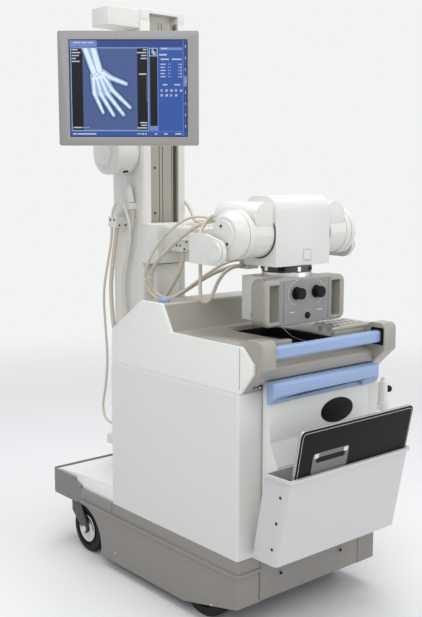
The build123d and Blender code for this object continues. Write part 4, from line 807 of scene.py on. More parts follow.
def dressBeamPort(setup):
    bm = bmesh.new()
    height = setup["high"] - setup["low"]
    r = setup["radius"]
    steps = [(r - 0.006, 0), (r + 0.0012, 0), (r + 0.0012, 0.004), (r, 0.0048), (r, height - 0.002),
             (r - 0.0015, height), (r - 0.006, height)]
    addTurned(bm, steps, spot(*setup["middle"], setup["low"]), (0, 0, 1), sides=72)
    finishPiece("portCollar", bm, ["steel"], "collimator")
    bm = bmesh.new()
    for k in range(setup["catches"]):
        angle = 2 * math.pi * (k + 0.35) / setup["catches"]
        outward = Vector((math.cos(angle), math.sin(angle), 0))
        along = Vector((-math.sin(angle), math.cos(angle), 0))
        low, high = setup["catchBand"]
        centre = spot(*setup["middle"], (low + high) / 2) + outward * setup["catchRadius"]
        size = (0.011 + 0.005 * (k % 3), high - low - 0.002 * (k % 2))
        addSlab(bm, roundedOutline(*size, 0.0015), centre, along, Vector((0, 0, 1)), outward, 0.004, 0.0012,
                paint=k % 2)
    finishPiece("portCatches", bm, ["steel", "blackPlastic"], "tube_head")


dressBeamPort(beamPort)

# collimator face: a grey panel with two dials, their scales, and the lamp button
collimatorFace = {
    "face": 0.037, "panel": (0.0, 1.0195), "panelSize": (0.232, 0.138),
    "dials": ((-0.044, 1.046), (0.044, 1.046)),
    "scaleRadius": 0.036, "tickLong": 0.0058, "tickShort": 0.0034, "tickWide": 0.0008, "button": (0.005, 0.973),
    "openings": (("left", 100, 262), ("right", -82, 80)), "ticks": 15,
    "dividers": (-0.1, 0.1), "dividerSize": (0.0012, 0.128), "dialStand": 0.0225, "pointerRise": 0.0095,
    "bars": ((-0.062, 0.987, 0.022), (0.060, 0.987, 0.026), (-0.044, 1.0865, 0.006), (0.044, 1.0865, 0.006),
             (0.005, 0.9865, 0.005)),      # sideways, height and width of each pale bar
    "lampCover": (-0.112, 0.142, 0.999), "lampCoverSize": (0.062, 0.060),
    "lampLatch": (-0.112, 0.158, 0.9705), "lampLatchSize": (0.017, 0.017),
}


# the marks of a dial: a thin line on an arc, and marks across it, longer at every third place
def makeScaleTree():
    tree, start, end = newTree("dialScale", [
        ("Geometry", "NodeSocketGeometry", None), ("Radius", "NodeSocketFloat", 0.036),
        ("From", "NodeSocketFloat", 1.6), ("Sweep", "NodeSocketFloat", 2.8), ("Marks", "NodeSocketInt", 15),
        ("Mark Length", "NodeSocketFloat", 0.005),
        ("Line Width", "NodeSocketFloat", 0.0008), ("Material", "NodeSocketMaterial", None)])
    arc = addNode(tree, "GeometryNodeCurveArc", {"mode": "RADIUS"})
    marks = addNode(tree, "GeometryNodeCurveToPoints", {"mode": "COUNT"})
    outward = addNode(tree, "FunctionNodeAlignRotationToVector", {"axis": "X"})
    away = addNode(tree, "GeometryNodeInputPosition")
    bar = addNode(tree, "GeometryNodeMeshCube")
    size = addNode(tree, "ShaderNodeCombineXYZ")
    stand = addNode(tree, "GeometryNodeInstanceOnPoints")
    third = addNode(tree, "FunctionNodeIntegerMath", {"operation": "MODULO"})
    third.inputs[1].default_value = 3
    place = addNode(tree, "GeometryNodeInputIndex")
    shrink = addNode(tree, "ShaderNodeMapRange", To_Min=1.0, To_Max=0.55)
    profile = addNode(tree, "GeometryNodeCurvePrimitiveQuadrilateral")
    line = addNode(tree, "GeometryNodeCurveToMesh", Fill_Caps=True)
    both = addNode(tree, "GeometryNodeJoinGeometry")
    real = addNode(tree, "GeometryNodeRealizeInstances")
    paint = addNode(tree, "GeometryNodeSetMaterial")
    join = tree.links.new
    join(start.outputs["Radius"], arc.inputs["Radius"])
    join(start.outputs["From"], arc.inputs["Start Angle"])
    join(start.outputs["Sweep"], arc.inputs["Sweep Angle"])
    join(arc.outputs["Curve"], marks.inputs["Curve"])
    join(start.outputs["Marks"], marks.inputs["Count"])
    join(away.outputs[0], outward.inputs["Vector"])
    join(start.outputs["Mark Length"], size.inputs["X"])
    join(start.outputs["Line Width"], size.inputs["Y"])
    join(start.outputs["Line Width"], size.inputs["Z"])
    join(size.outputs[0], bar.inputs["Size"])
    join(place.outputs[0], third.inputs[0])
    join(third.outputs[0], shrink.inputs["Value"])
    join(marks.outputs["Points"], stand.inputs["Points"])
    join(bar.outputs["Mesh"], stand.inputs["Instance"])
    join(outward.outputs["Rotation"], stand.inputs["Rotation"])
    join(shrink.outputs[0], stand.inputs["Scale"])
    join(start.outputs["Line Width"], profile.inputs["Width"])
    join(start.outputs["Line Width"], profile.inputs["Height"])
    join(arc.outputs["Curve"], line.inputs["Curve"])
    join(profile.outputs["Curve"], line.inputs["Profile Curve"])
    join(stand.outputs["Instances"], both.inputs[0])
    join(line.outputs["Mesh"], both.inputs[0])
    join(both.outputs[0], real.inputs["Geometry"])
    join(real.outputs["Geometry"], paint.inputs["Geometry"])
    join(start.outputs["Material"], paint.inputs["Material"])
    join(paint.outputs["Geometry"], end.inputs[0])
    return tree


def dressCollimator(setup):
    right, up, out = Vector((1, 0, 0)), Vector((0, 0, 1)), Vector((0, -1, 0))
    bm = bmesh.new()
    across, height = setup["panel"]
    addSlab(bm, roundedOutline(*setup["panelSize"], 0.003), spot(across, setup["face"], height), right, up, out,
            0.0005, 0.0006)
    for sideways in setup["dividers"]:
        outline = roundedOutline(*setup["dividerSize"], 0.0005)
        addSlab(bm, outline, spot(sideways, setup["face"], height), right, up, out, 0.0003, 0.0009, paint=1)
    finishPiece("dialPanel", bm, ["panelGrey", "seamGrey"], "collimator")
    scaleTree = makeScaleTree()
    for (across, height), (word, first, last) in zip(setup["dials"], setup["openings"]):
        piece = addObject(word + "DialScale", bpy.data.meshes.new(word + "DialScale"))
        settleNodes(piece, scaleTree, Radius=setup["scaleRadius"], From=math.radians(first),
                    Sweep=math.radians(last - first), Marks=setup["ticks"], Mark_Length=setup["tickLong"],
                    Line_Width=setup["tickWide"], Material=makeFinish("markWhite"))
        centre = spot(across, setup["face"] - 0.0007, height)
        piece.data.transform(Matrix.Translation(centre) @ Matrix.Rotation(math.radians(90), 4, "X"))
        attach(piece, "collimator")
    bm = bmesh.new()
    for across, height in setup["dials"]:
        pointer = spot(across, setup["face"] - setup["dialStand"], height + setup["pointerRise"])
        addSlab(bm, roundedOutline(0.0022, 0.013, 0.001), pointer, right, up, out, 0.0005, 0.0006)
        addTurned(bm, [(0.0205, 0), (0.0205, 0.0022), (0.019, 0.003)], spot(across, setup["face"], height), out,
                  sides=40, paint=1)
    for across, height, wide in setup["bars"]:
        addSlab(bm, roundedOutline(wide, 0.0024, 0.001), spot(across, setup["face"], height), right, up, out,
                0.0003, 0.0008)
    across, height = setup["button"]
    addTurned(bm, [(0.0105, 0), (0.0105, 0.003), (0.0088, 0.0048), (0.006, 0.0056), (0, 0.0058)],
              spot(across, setup["face"] - 0.001, height), out, sides=32, paint=1)
    finishPiece("dialMarks", bm, ["markWhite", "blackPlastic"], "collimator")
    bm = bmesh.new()
    left = Vector((-1, 0, 0))
    addSlab(bm, roundedOutline(*setup["lampCoverSize"], 0.003), spot(*setup["lampCover"]), out, up, left,
            0.0005, 0.0035)
    addSlab(bm, roundedOutline(*setup["lampLatchSize"], 0.001), spot(*setup["lampLatch"]), out, up, left,
            0.0005, 0.0050, paint=1)
    finishPiece("fieldLampCover", bm, ["whiteCover", "blackPlastic"], "collimator")


dressCollimator(collimatorFace)
print("tube head and collimator dressed")

# monitor picture: a plain reading screen with a hand's radiograph, built in thin layers on the glass
screenLook = {
    "layer": 0.00012, "tabs": 8, "buttons": (5, 2), "rows": 5,
    "colours": {"screenBlue": (0.035, 0.10, 0.40), "screenDeep": (0.03, 0.07, 0.27),
                "screenSlate": (0.075, 0.12, 0.30), "screenBright": (0.16, 0.27, 0.62),
                "screenBlack": (0.004, 0.004, 0.005),
                "screenLine": (0.55, 0.62, 0.74), "tissueEdge": (0.03, 0.04, 0.11),
                "tissue": (0.19, 0.33, 0.62),
                "tissueCore": (0.36, 0.52, 0.80), "bone": (0.80, 0.95, 1.05)},
    "glow": 0.9, "towards": (-0.64, -0.77, 0), "lampColour": (0.20, 0.42, 1.0), "lampGlow": 1.1,
}
handShape = {
    "wrist": (0.090, 0.106), "elbowSide": (0.060, 0.012), "top": 0.0262,
    # where each finger starts across the wrist, its angle, its knuckle ahead and aside, length and half width
    "fingers": ((-0.015, 66, (0.056, -0.029), 0.066, 0.0072), (-0.006, 59, (0.064, -0.010), 0.078, 0.0078),
                (0.004, 52, (0.067, 0.009), 0.086, 0.0080), (0.012, 44, (0.062, 0.028), 0.080, 0.0078),
                (0.015, 22, (0.022, 0.034), 0.056, 0.0088)),
    "bones": ((0.05, 0.42), (0.47, 0.72), (0.77, 0.95)),
    "wristBones": ((-0.010, 0.006), (-0.001, 0.001), (0.009, -0.005), (-0.004, 0.013), (0.006, 0.008),
                   (0.015, 0.002)),
}


# a lit picture surface: its colour glows through a thin gloss, and wavers a little as film grain does
def makeGlow(name, colour, strength):
    paint, tree, shader = newPaint(name)
    coords = addNode(tree, "ShaderNodeTexCoord")
    grain = addNode(tree, "ShaderNodeTexNoise", Scale=260.0, Detail=2.0)
    tone = addNode(tree, "ShaderNodeMapRange", To_Min=0.82, To_Max=1.18)
    tint = addNode(tree, "ShaderNodeVectorMath", {"operation": "SCALE"})
    tint.inputs[0].default_value = colour
    tree.links.new(coords.outputs["Object"], grain.inputs["Vector"])
    tree.links.new(grain.outputs["Fac"], tone.inputs["Value"])
    tree.links.new(tone.outputs[0], tint.inputs["Scale"])
    tree.links.new(tint.outputs[0], shader.inputs["Emission Color"])
    shader.inputs["Emission Strength"].default_value = strength
    shader.inputs["Base Color"].default_value = (0.01, 0.01, 0.012, 1)
    shader.inputs["Roughness"].default_value = 0.3
    shader.inputs["Specular IOR Level"].default_value = 0.12
    materialOf[name] = paint


for glowName, colour in screenLook["colours"].items():
    makeGlow(glowName, colour, screenLook["glow"])
makeGlow("lampBlue", screenLook["lampColour"], screenLook["lampGlow"])


def makeScreen(look, hand):
    middle, side, upward, facing, width, height = flatSide("monitor_screen", look["towards"])
    paints = list(look["colours"])
    bm = bmesh.new()
    corner = middle - side * width / 2 + upward * height / 2
    layer = look["layer"]

    # a shape given from the picture's upper left corner, rightwards and downwards
    def draw(outline, paint, level):
        flipped = [(a, -b) for a, b in outline]
        area = sum(p[0] * q[1] - q[0] * p[1] for p, q in zip(flipped, flipped[1:] + flipped[:1]))
        addSlab(bm, flipped if area > 0 else flipped[::-1], corner, side, upward, facing, 0.0001, layer * level,
                paints.index(paint))

    # a rectangle, and a row of short bars that stand for writing, in shares of the picture's width and height
    def panel(left, top, right, bottom, paint, level):
        draw([(left * width, top * height), (right * width, top * height), (right * width, bottom * height),
              (left * width, bottom * height)], paint, level)

    def words(left, top, lengths, rise=0.010, gap=0.008):
        for length in lengths:
            panel(left, top, left + length, top + rise, "screenLine", 4)
            left += length + gap

    panel(0, 0, 1, 1, "screenBlue", 1)
    panel(0, 0, 0.962, 0.075, "screenDeep", 2)
    panel(0.004, 0.006, 0.235, 0.072, "screenBright", 3)
    words(0.035, 0.022, (0.06, 0.045, 0.05), 0.012)
    panel(0.012, 0.080, 0.668, 0.938, "screenLine", 2)
    panel(0.016, 0.085, 0.664, 0.933, "screenBlack", 3)
    panel(0.112, 0.085, 0.575, 0.933, "screenSlate", 4)
    for k, length in enumerate((0.050, 0.072, 0.060, 0.035, 0.066)):
        words(0.022, 0.095 + 0.030 * k, (length,), 0.012)
    for k, length in enumerate((0.030, 0.080, 0.045, 0.050)):
        words(0.655 - length, 0.095 + 0.030 * k, (length,), 0.012)
    words(0.590, 0.345, (0.062,), 0.014)
    for k in range(11):
        words(0.652, 0.385 + 0.025 * k, (0.006 + 0.003 * (k % 2),), 0.005)
    for k, length in enumerate((0.06, 0.05, 0.09)):
        words(0.655 - length, 0.850 + 0.027 * k, (length,), 0.012)
    words(0.025, 0.900, (0.075, 0.05), 0.012)
    panel(0.676, 0.080, 0.752, 0.938, "screenBright", 2)
    panel(0.682, 0.170, 0.746, 0.890, "screenBlack", 3)
    panel(0.680, 0.086, 0.746, 0.166, "screenLine", 3)
    panel(0.684, 0.091, 0.742, 0.161, "screenBlack", 4)
    panel(0.698, 0.098, 0.716, 0.140, "tissueCore", 5)
    panel(0.708, 0.120, 0.732, 0.156, "tissueCore", 5)
    panel(0.768, 0.078, 0.958, 0.105, "screenBright", 2)
    words(0.780, 0.083, (0.05,), 0.012)
    words(0.762, 0.145, (0.065,), 0.016)
    words(0.775, 0.192, (0.070,), 0.014)
    words(0.870, 0.192, (0.080,), 0.014)
    for k in range(look["rows"]):
        words(0.772, 0.245 + 0.032 * k, (0.045 - 0.006 * (k % 2),), 0.010)
        words(0.838, 0.245 + 0.032 * k, (0.008, 0.006), 0.008)
        words(0.925, 0.245 + 0.032 * k, (0.006, 0.014), 0.012)
    words(0.790, 0.455, (0.040,), 0.013)
    words(0.890, 0.455, (0.050,), 0.013)
    for row in range(look["buttons"][1]):
        for k in range(look["buttons"][0] - row):
            left, top = 0.772 + 0.041 * k, 0.510 + 0.050 * row
            words(left, top, (0.016 + 0.003 * ((k + row) % 3),), 0.022)
            panel(left + 0.004, top + 0.006, left + 0.010, top + 0.014, "screenBlue", 5)
    panel(0.962, 0, 0.966, 1, "screenBright", 3)
    for k in range(look["tabs"]):
        top = 0.018 + k * 0.118
        panel(0.970, top, 0.998, top + 0.105, "screenBright" if k == 3 else "screenDeep", 3)
        words(0.982, top + 0.035, (0.005,), 0.030)
    panel(0, 0.945, 0.962, 0.949, "screenBright", 2)
    for left, lengths in ((0.02, (0.03, 0.16)), (0.57, (0.012, 0.012, 0.02, 0.012)), (0.72, (0.02,)),
                          (0.80, (0.03,)), (0.895, (0.055,))):
        words(left, 0.966, lengths, 0.014)

    # part of a shape that lies below the picture's upper edge
    def below(outline, top=hand["top"]):
        kept = []
        for (a, b), (c, e) in zip(outline, outline[1:] + outline[:1]):
            if b >= top:
                kept.append((a, b))
            if (b >= top) != (e >= top):
                kept.append((a + (c - a) * (top - b) / (e - b), top))
        return kept

    wrist = Vector(hand["wrist"])
    elbow = Vector(hand["elbowSide"])
    across = Vector((wrist.y - elbow.y, elbow.x - wrist.x)).normalized()
    digits = []
    for start, angle, palm, length, radius in hand["fingers"]:
        heading = Vector((math.cos(math.radians(angle)), math.sin(math.radians(angle))))
        root = wrist + across * start
        knuckle = root + (wrist - elbow).normalized() * palm[0] + across * (palm[1] - start)
        digits.append((root, knuckle, knuckle + heading * length, radius))
    for paint, level, grow in (("tissueEdge", 5, 0.0030), ("tissue", 6, 0), ("tissueCore", 7, -0.0024)):
        draw(below(barOutline(elbow, wrist, 0.0250 + grow, 0.0205 + grow)), paint, level)
        for root, knuckle, tip, radius in digits:
            draw(barOutline(root, knuckle, radius + 0.004 + grow, radius + 0.002 + grow), paint, level)
            draw(barOutline(knuckle, tip, radius + 0.0014 + grow, radius - 0.0010 + grow), paint, level)
        for first, second in zip(digits[:3], digits[1:4]):
            for share in (0.25, 0.5, 0.75, 0.95):
                draw(barOutline(first[0].lerp(first[1], share), second[0].lerp(second[1], share),
                                0.010 + grow, 0.010 + grow), paint, level)
    for offset, thick in ((-0.0135, 0.0052), (0.0120, 0.0060)):
        draw(below(barOutline(elbow + across * offset, wrist + across * offset * 0.72 - (wrist - elbow) * 0.10,
                              thick, thick + 0.0024)), "bone", 8)
    for a, b in hand["wristBones"]:
        draw(ovalOutline(0.0105, 0.0092, 12, centre=(wrist.x + a, wrist.y + b)), "bone", 8)
    for root, knuckle, tip, radius in digits:
        spans = [(root.lerp(knuckle, 0.20), root.lerp(knuckle, 0.94))]
        spans += [(knuckle.lerp(tip, first), knuckle.lerp(tip, last)) for first, last in hand["bones"]]
        for k, (a, b) in enumerate(spans):
            thick = 0.0052 - 0.0006 * k
            draw(barOutline(a, b, thick * 0.78, thick * 0.66), "bone", 8)
            for end, bulge in ((a, 1.12), (b, 0.98)):
                draw(ovalOutline(2 * thick * bulge, 2 * thick * bulge, 12, centre=(end.x, end.y)), "bone", 9)
    finishPiece("screenPicture", bm, paints, "monitor", crease=80)


makeScreen(screenLook, handShape)


# monitor frame: three small lamps, a dark eye beside them, and a dark line round the glass
monitorFrame = {"lamps": 3, "firstLamp": 0.100, "lampStep": 0.0165, "lampRise": 0.0145, "eye": (0.040, 0.0150),
                "seal": 0.0022}


def dressMonitorFrame(setup):
    middle, side, upward, facing, width, height = flatSide("monitor_screen", screenLook["towards"])
    front = max(v.co.dot(facing) for v in nodes["monitor_shell"].data.vertices)
    centre = middle + facing * (front - middle.dot(facing))
    bm = bmesh.new()
    for k in range(setup["lamps"]):
        place = (centre + side * (setup["firstLamp"] + setup["lampStep"] * k)
                 + upward * (height / 2 + setup["lampRise"]))
        addTurned(bm, [(0.0036, -0.001), (0.0036, 0.0002), (0.0028, 0.0008), (0, 0.0012)], place, facing,
                  sides=16)
    across, rise = setup["eye"]
    place = centre - side * across + upward * (height / 2 + rise)
    addTurned(bm, [(0.0015, -0.001), (0.0015, 0.0003), (0, 0.0004)], place, facing, sides=12, paint=1)
    finishPiece("monitorLamps", bm, ["lampBlue", "blackPlastic"], "monitor")
    bm = bmesh.new()
    line = setup["seal"]
    level = roundedOutline(width + line, line, 0.0008)
    upright = roundedOutline(line, height + line, 0.0008)
    for outline, away in ((level, upward * (height / 2)), (level, upward * (-height / 2)),
                          (upright, side * (width / 2)), (upright, side * (-width / 2))):
        addSlab(bm, outline, middle + away, side, upward, facing, 0.0005, 0.0018)
    finishPiece("glassSeal", bm, ["blackPlastic"], "monitor")


dressMonitorFrame(monitorFrame)
print("monitor dressed")

# column: the drum's plate, the thin lead that leaves it, and the screws of the cables' clamps
columnDress = {
    "drumMiddle": (0.867, 1.497), "drumRadius": 0.082, "plateSide": -0.139, "plateTurn": 33,
    "plateSize": (0.052, 0.046), "plateScrews": (0.021, 0.018), "leadRadius": 0.0026,
    "lead": [(-0.138, 0.824, 1.4275), (-0.134, 0.826, 1.420), (-0.122, 0.838, 1.410), (-0.116, 0.8435, 1.400),
             (-0.116, 0.8425, 1.394)],
    # each screw's place, the way it looks, and its radius
    "clampScrews": (((-0.160, 0.868, 1.2500), (-1, 0, 0), 0.0040),
                    ((-0.160, 0.892, 1.2500), (-1, 0, 0), 0.0040),
                    ((-0.145, 0.856, 1.2300), (0, -1, 0), 0.0036),
                    ((-0.118, 0.856, 1.2300), (0, -1, 0), 0.0036)),
}


def dressColumn(setup):
    length, height = setup["drumMiddle"]
    turn = math.radians(setup["plateTurn"])
    out = Vector((0, -math.sin(turn), -math.cos(turn)))
    right = Vector((1, 0, 0))
    up = out.cross(right)
    centre = spot(setup["plateSide"], length, height) + out * (setup["drumRadius"] + 0.0005)
    bm = bmesh.new()
    addSlab(bm, roundedOutline(*setup["plateSize"], 0.003), centre, right, up, out, 0.0045, 0.0022)
    addSlab(bm, ovalOutline(0.024, 0.017), centre, right, up, out, 0.001, 0.0028, paint=1)
    screwSide, screwRise = setup["plateScrews"]
    for a in (-screwSide, screwSide):
        for b in (-screwRise, screwRise):
            addTurned(bm, [(0.0022, 0), (0.0022, 0.0008), (0.0012, 0.0012), (0, 0.0012)],
                      centre + right * a + up * b + out * 0.0022, out, sides=12, paint=2)
    finishPiece("drumPlate", bm, ["labelPale", "blackPlastic", "steel"], "column")
    lead = addObject("drumLead", routeLine("drumLead", setup["lead"]))
    settleNodes(lead, sleeveTree, Radius=setup["leadRadius"], Sides=12, Material=sleeves["pale"])
    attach(lead, "column")
    makeScrews("columnScrews", "cross", "blackPlastic", "column", setup["clampScrews"])


dressColumn(columnDress)

# ties: a band round a cable, at the point of its line that lies nearest a named place
cableTies = {
    "column": (("signalCable", (-0.155, 0.925, 1.084), 0.0062), ("supplyCable", (-0.141, 0.915, 1.086), 0.0096),
               ("archCable", (-0.132, 0.802, 1.183), 0.0060), ("signalCable", (-0.152, 0.893, 1.204), 0.0064),
               ("columnLead", (-0.115, 0.850, 0.745), 0.0076), ("supplyCable", (-0.134, 0.902, 0.760), 0.0096)),
    "arm": (("tubeCable", (-0.150, 0.655, 1.052), 0.0086), ("tubeThinCable", (-0.176, 0.654, 1.050), 0.0062),
            ("tubeCable", (-0.105, 0.450, 1.050), 0.0086), ("tubeThinCable", (-0.140, 0.505, 1.254), 0.0062)),
}


def tieCables(setup):
    for body, ties in setup.items():
        bm = bmesh.new()
        for cable, place, radius in ties:
            path = [Vector(point) for point in cableLines[cable]]
            k = min(range(1, len(path) - 1), key=lambda n: (path[n] - spot(*place)).length)
            along = (path[k + 1] - path[k - 1]).normalized()
            edge = radius - 0.0012
            addTurned(bm, [(edge, -0.0034), (radius, -0.0030), (radius, 0.0030), (edge, 0.0034)], path[k], along,
                      sides=20)
        finishPiece(body + "Ties", bm, ["labelPale"], body)


tieCables(cableTies)
print("column dressed")

# console: rows of keys on the keypad, the lead in the well, the drive bar's black sockets, and their fastenings
consoleDress = {
    "keyMiddle": (0.198, 0.074, 0.925), "keyField": (0.128, 0.070), "keyRows": (6, 3),
    "keySize": (0.0150, 0.0105, 0.0016), "leadRadius": 0.0014,
    "wellLead": [
        (0.0930, 0.250, 0.905), (0.0925, 0.232, 0.898), (0.0925, 0.2116, 0.8850), (0.0925, 0.185, 0.8740),
        (0.0925, 0.150, 0.8690), (0.0925, 0.120, 0.8665), (0.0900, 0.090, 0.8660)],
    "socket": (0.2427, -0.052, 0.8915), "socketSize": (0.052, 0.056), "nut": (0.252, -0.0195, 0.7893),
    "pin": (0.272, -0.0185, 0.7885), "nutFacing": (0, -0.68, -0.73),
}


# rows of eased keys, standing on a flat field
def makeKeyTree():
    tree, start, end = newTree("keyRows", [
        ("Geometry", "NodeSocketGeometry", None), ("Key", "NodeSocketObject", None),
        ("Width", "NodeSocketFloat", 0.1), ("Depth", "NodeSocketFloat", 0.06), ("Across", "NodeSocketInt", 6),
        ("Rows", "NodeSocketInt", 3),
        ("Material", "NodeSocketMaterial", None)])
    grid = addNode(tree, "GeometryNodeMeshGrid")
    info = addNode(tree, "GeometryNodeObjectInfo")
    place = addNode(tree, "GeometryNodeInstanceOnPoints")
    real = addNode(tree, "GeometryNodeRealizeInstances")
    paint = addNode(tree, "GeometryNodeSetMaterial")
    join = tree.links.new
    for label, socket in (("Width", "Size X"), ("Depth", "Size Y"), ("Across", "Vertices X"),
                          ("Rows", "Vertices Y")):
        join(start.outputs[label], grid.inputs[socket])
    join(start.outputs["Key"], info.inputs["Object"])
    join(grid.outputs["Mesh"], place.inputs["Points"])
    join(info.outputs["Geometry"], place.inputs["Instance"])
    join(place.outputs["Instances"], real.inputs["Geometry"])
    join(real.outputs["Geometry"], paint.inputs["Geometry"])
    join(start.outputs["Material"], paint.inputs["Material"])
    join(paint.outputs["Geometry"], end.inputs[0])
    return tree


def dressConsole(setup):
    bm = bmesh.new()
    width, depth, height = setup["keySize"]
    right, along, up = Vector((1, 0, 0)), Vector((0, 1, 0)), Vector((0, 0, 1))
    addSlab(bm, roundedOutline(width, depth, 0.002, 3), (0, 0, 0), right, along, up, 0.0008, height)
    keyMesh = bpy.data.meshes.new("keyShape")
    bm.to_mesh(keyMesh)
    bm.free()
    key = addObject("keyShape", keyMesh)
    piece = addObject("keypadKeys", bpy.data.meshes.new("keypadKeys"))
    wide, deep = setup["keyField"]
    across, rows = setup["keyRows"]
    settleNodes(piece, makeKeyTree(), Key=key, Width=wide, Depth=deep, Across=across, Rows=rows,
                Material=makeFinish("keyPale"))
    bpy.data.objects.remove(key)
    piece.data.transform(Matrix.Translation(spot(*setup["keyMiddle"])))
    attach(piece, "base")
    lead = addObject("wellLead", routeLine("wellLead", setup["wellLead"]))
    settleNodes(lead, sleeveTree, Radius=setup["leadRadius"], Sides=10, Material=sleeves["pale"])
    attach(lead, "base")
    bm = bmesh.new()
    socket = roundedOutline(*setup["socketSize"], 0.004)
    x, y, z = setup["socket"]
    addSlab(bm, socket, spot(x, y, z), along, up, Vector((-1, 0, 0)), 0.0006, 0.0012)
    addSlab(bm, socket, spot(-x, y, z), along, up, right, 0.0006, 0.0012)
    out = Vector(setup["nutFacing"])
    for edge in (-1, 1):
        x, y, z = setup["nut"]
        foot = spot(edge * x, y, z)
        addTurned(bm, [(0.0085, -0.001), (0.0085, 0.001), (0.006, 0.0016), (0, 0.0016)], foot, out, sides=20)
        addTurned(bm, [(0.0050, 0.001), (0.0050, 0.0040), (0.0038, 0.0052), (0, 0.0052)], foot, out, sides=6,
                  paint=1)
        x, y, z = setup["pin"]
        addTurned(bm, [(0.0050, -0.001), (0.0050, 0.0006), (0, 0.0006)], spot(edge * x, y, z), out, sides=16)
    finishPiece("handleFittings", bm, ["blackPlastic", "steel"], "base")


dressConsole(consoleDress)

# seams: narrow dark joints between panels, alike on both sides of the base: how far out and along, from what
# height to what height, and whether the face looks sideways
baseSeams = ((0.3202, 0.673, 0.216, 0.254, True), (0.3142, -0.0005, 0.785, 0.908, True),
             (0.2300, -0.0002, 0.106, 0.203, False))


def makeSeams(setup, width=0.0011):
    bm = bmesh.new()
    for sideways, length, low, high, looksSideways in setup:
        for edge in (-1, 1):
            a, b = spot(edge * sideways, length, low), spot(edge * sideways, length, high)
            out = Vector((edge, 0, 0)) if looksSideways else Vector((0, -1, 0))
            along = (b - a).normalized()
            outline = roundedOutline(width, (b - a).length, width / 2.2, 2)
            addSlab(bm, outline, (a + b) / 2, out.cross(along), along, out, 0.0012, 0.0003)
    finishPiece("baseSeams", bm, ["seamGrey"], "base")


makeSeams(baseSeams)

# screws of the covers, one table for each body: the place of each, the way it looks, and its radius
toFront, toLeft, toRight = (0, -1, 0), (-1, 0, 0), (1, 0, 0)
coverScrews = {
    "base": ("steel", [((edge * 0.3200, length, 0.075), (edge, 0, 0), 0.0045) for length in (0.653, 0.120)
                       for edge in (-1, 1)]),
    "door": ("blackPlastic", [((edge * 0.2732, length, height), (edge, 0, 0), 0.0042) for edge in (-1, 1)
                              for length, height in ((-0.1339, 0.482), (-0.1181, 0.399), (-0.1011, 0.314))]),
    "carriage": ("blackPlastic", [
        ((-0.085, 0.700, 1.1065), toFront, 0.0034), ((0.085, 0.700, 1.1065), toFront, 0.0034),
        ((-0.0796, 0.542, 1.1816), toFront, 0.0034), ((-0.0890, 0.542, 1.1570), toFront, 0.0034),
        ((-0.098, 0.5525, 1.1690), toLeft, 0.0036), ((-0.098, 0.5725, 1.1690), toLeft, 0.0036),
        ((-0.058, 0.350, 1.2150), toLeft, 0.0032), ((0.058, 0.350, 1.2150), toRight, 0.0032)]),
}
kickScrews = {"place": (0.1388, -0.0040, 0.1712), "radius": 0.0052}
railBolts = {"sideways": -0.0415, "face": 0.775, "lowest": 0.45, "step": 0.165, "count": 9, "leftOut": 4,
             "radius": 0.0042}


def setScrews(covers, kick, rail):
    for body, (finish, places) in covers.items():
        makeScrews(body + "CoverScrews", "cross", finish, body, places)
    sideways, length, height = kick["place"]
    places = [((edge * sideways, length, height), toFront, kick["radius"]) for edge in (-1, 1)]
    makeScrews("kickScrews", "hexagon", "blackPlastic", "base", places)
    heights = [rail["lowest"] + rail["step"] * k for k in range(rail["count"]) if k != rail["leftOut"]]
    places = [((rail["sideways"], rail["face"], height), toFront, rail["radius"]) for height in heights]
    makeScrews("railBolts", "hexagon", "blackPlastic", "column", places)


setScrews(coverScrews, kickScrews, railBolts)

# detector: a thin bright line inside its edge, a handle plate with two pale tabs, and a dark blue corner
detectorDress = {
    "inset": 0.004, "trim": 0.0022, "trimCorners": (0.014, 0.012), "plate": (0.155, 0.066),
    "plateFrom": (0.060, 0.077), "slotEnds": 0.030, "slotHeight": 0.017, "slotRise": 0.010,
    "tab": (0.018, 0.014), "tabFromEnd": 0.014, "tabRise": 0.024, "corner": 0.060, "cornerFrom": (0.040, 0.020),
}


def dressDetector(setup):
    middle, side, upward, facing, width, height = flatSide("image_detector", (0, -1, -0.2))
    bm = bmesh.new()
    inset, trim = setup["inset"], setup["trim"]
    outer = roundedOutline(width - 2 * inset, height - 2 * inset, setup["trimCorners"][0])
    inner = roundedOutline(width - 2 * inset - 2 * trim, height - 2 * inset - 2 * trim, setup["trimCorners"][1])
    rings = []
    for outline, rise in ((outer, -0.0006), (outer, 0.0004), (inner, 0.0004), (inner, -0.0006)):
        rings.append([bm.verts.new(middle + side * a + upward * b + facing * rise) for a, b in outline])
    bridgeRings(bm, rings + rings[:1])
    left, top = -width / 2 + setup["plateFrom"][0], height / 2 - setup["plateFrom"][1]
    centre = middle + side * (left + setup["plate"][0] / 2) + upward * (top - setup["plate"][1] / 2)
    addSlab(bm, roundedOutline(*setup["plate"], 0.008), centre, side, upward, facing, 0.0006, 0.0014, paint=1)
    slot = roundedOutline(setup["plate"][0] - setup["slotEnds"], setup["slotHeight"], 0.006)
    addSlab(bm, slot, centre + upward * setup["slotRise"], side, upward, facing, 0.0004, 0.0018, paint=2)
    for edge in (-1, 1):
        tab = centre + side * edge * (setup["plate"][0] / 2 - setup["tabFromEnd"]) + upward * setup["tabRise"]
        addSlab(bm, roundedOutline(*setup["tab"], 0.003), tab, side, upward, facing, 0.0004, 0.0022, paint=3)
    across, rise = setup["cornerFrom"]
    corner = middle - side * (width / 2 - across) - upward * (height / 2 - rise)
    reach = setup["corner"]
    addSlab(bm, [(0, 0), (reach, 0), (0, reach)], corner, side, upward, facing, 0.0004, 0.0005, paint=4)
    paints = ["labelSilver", "detectorGrey", "blackPlastic", "labelPale", "detectorBlue"]
    finishPiece("detectorFittings", bm, paints, "door")


dressDetector(detectorDress)

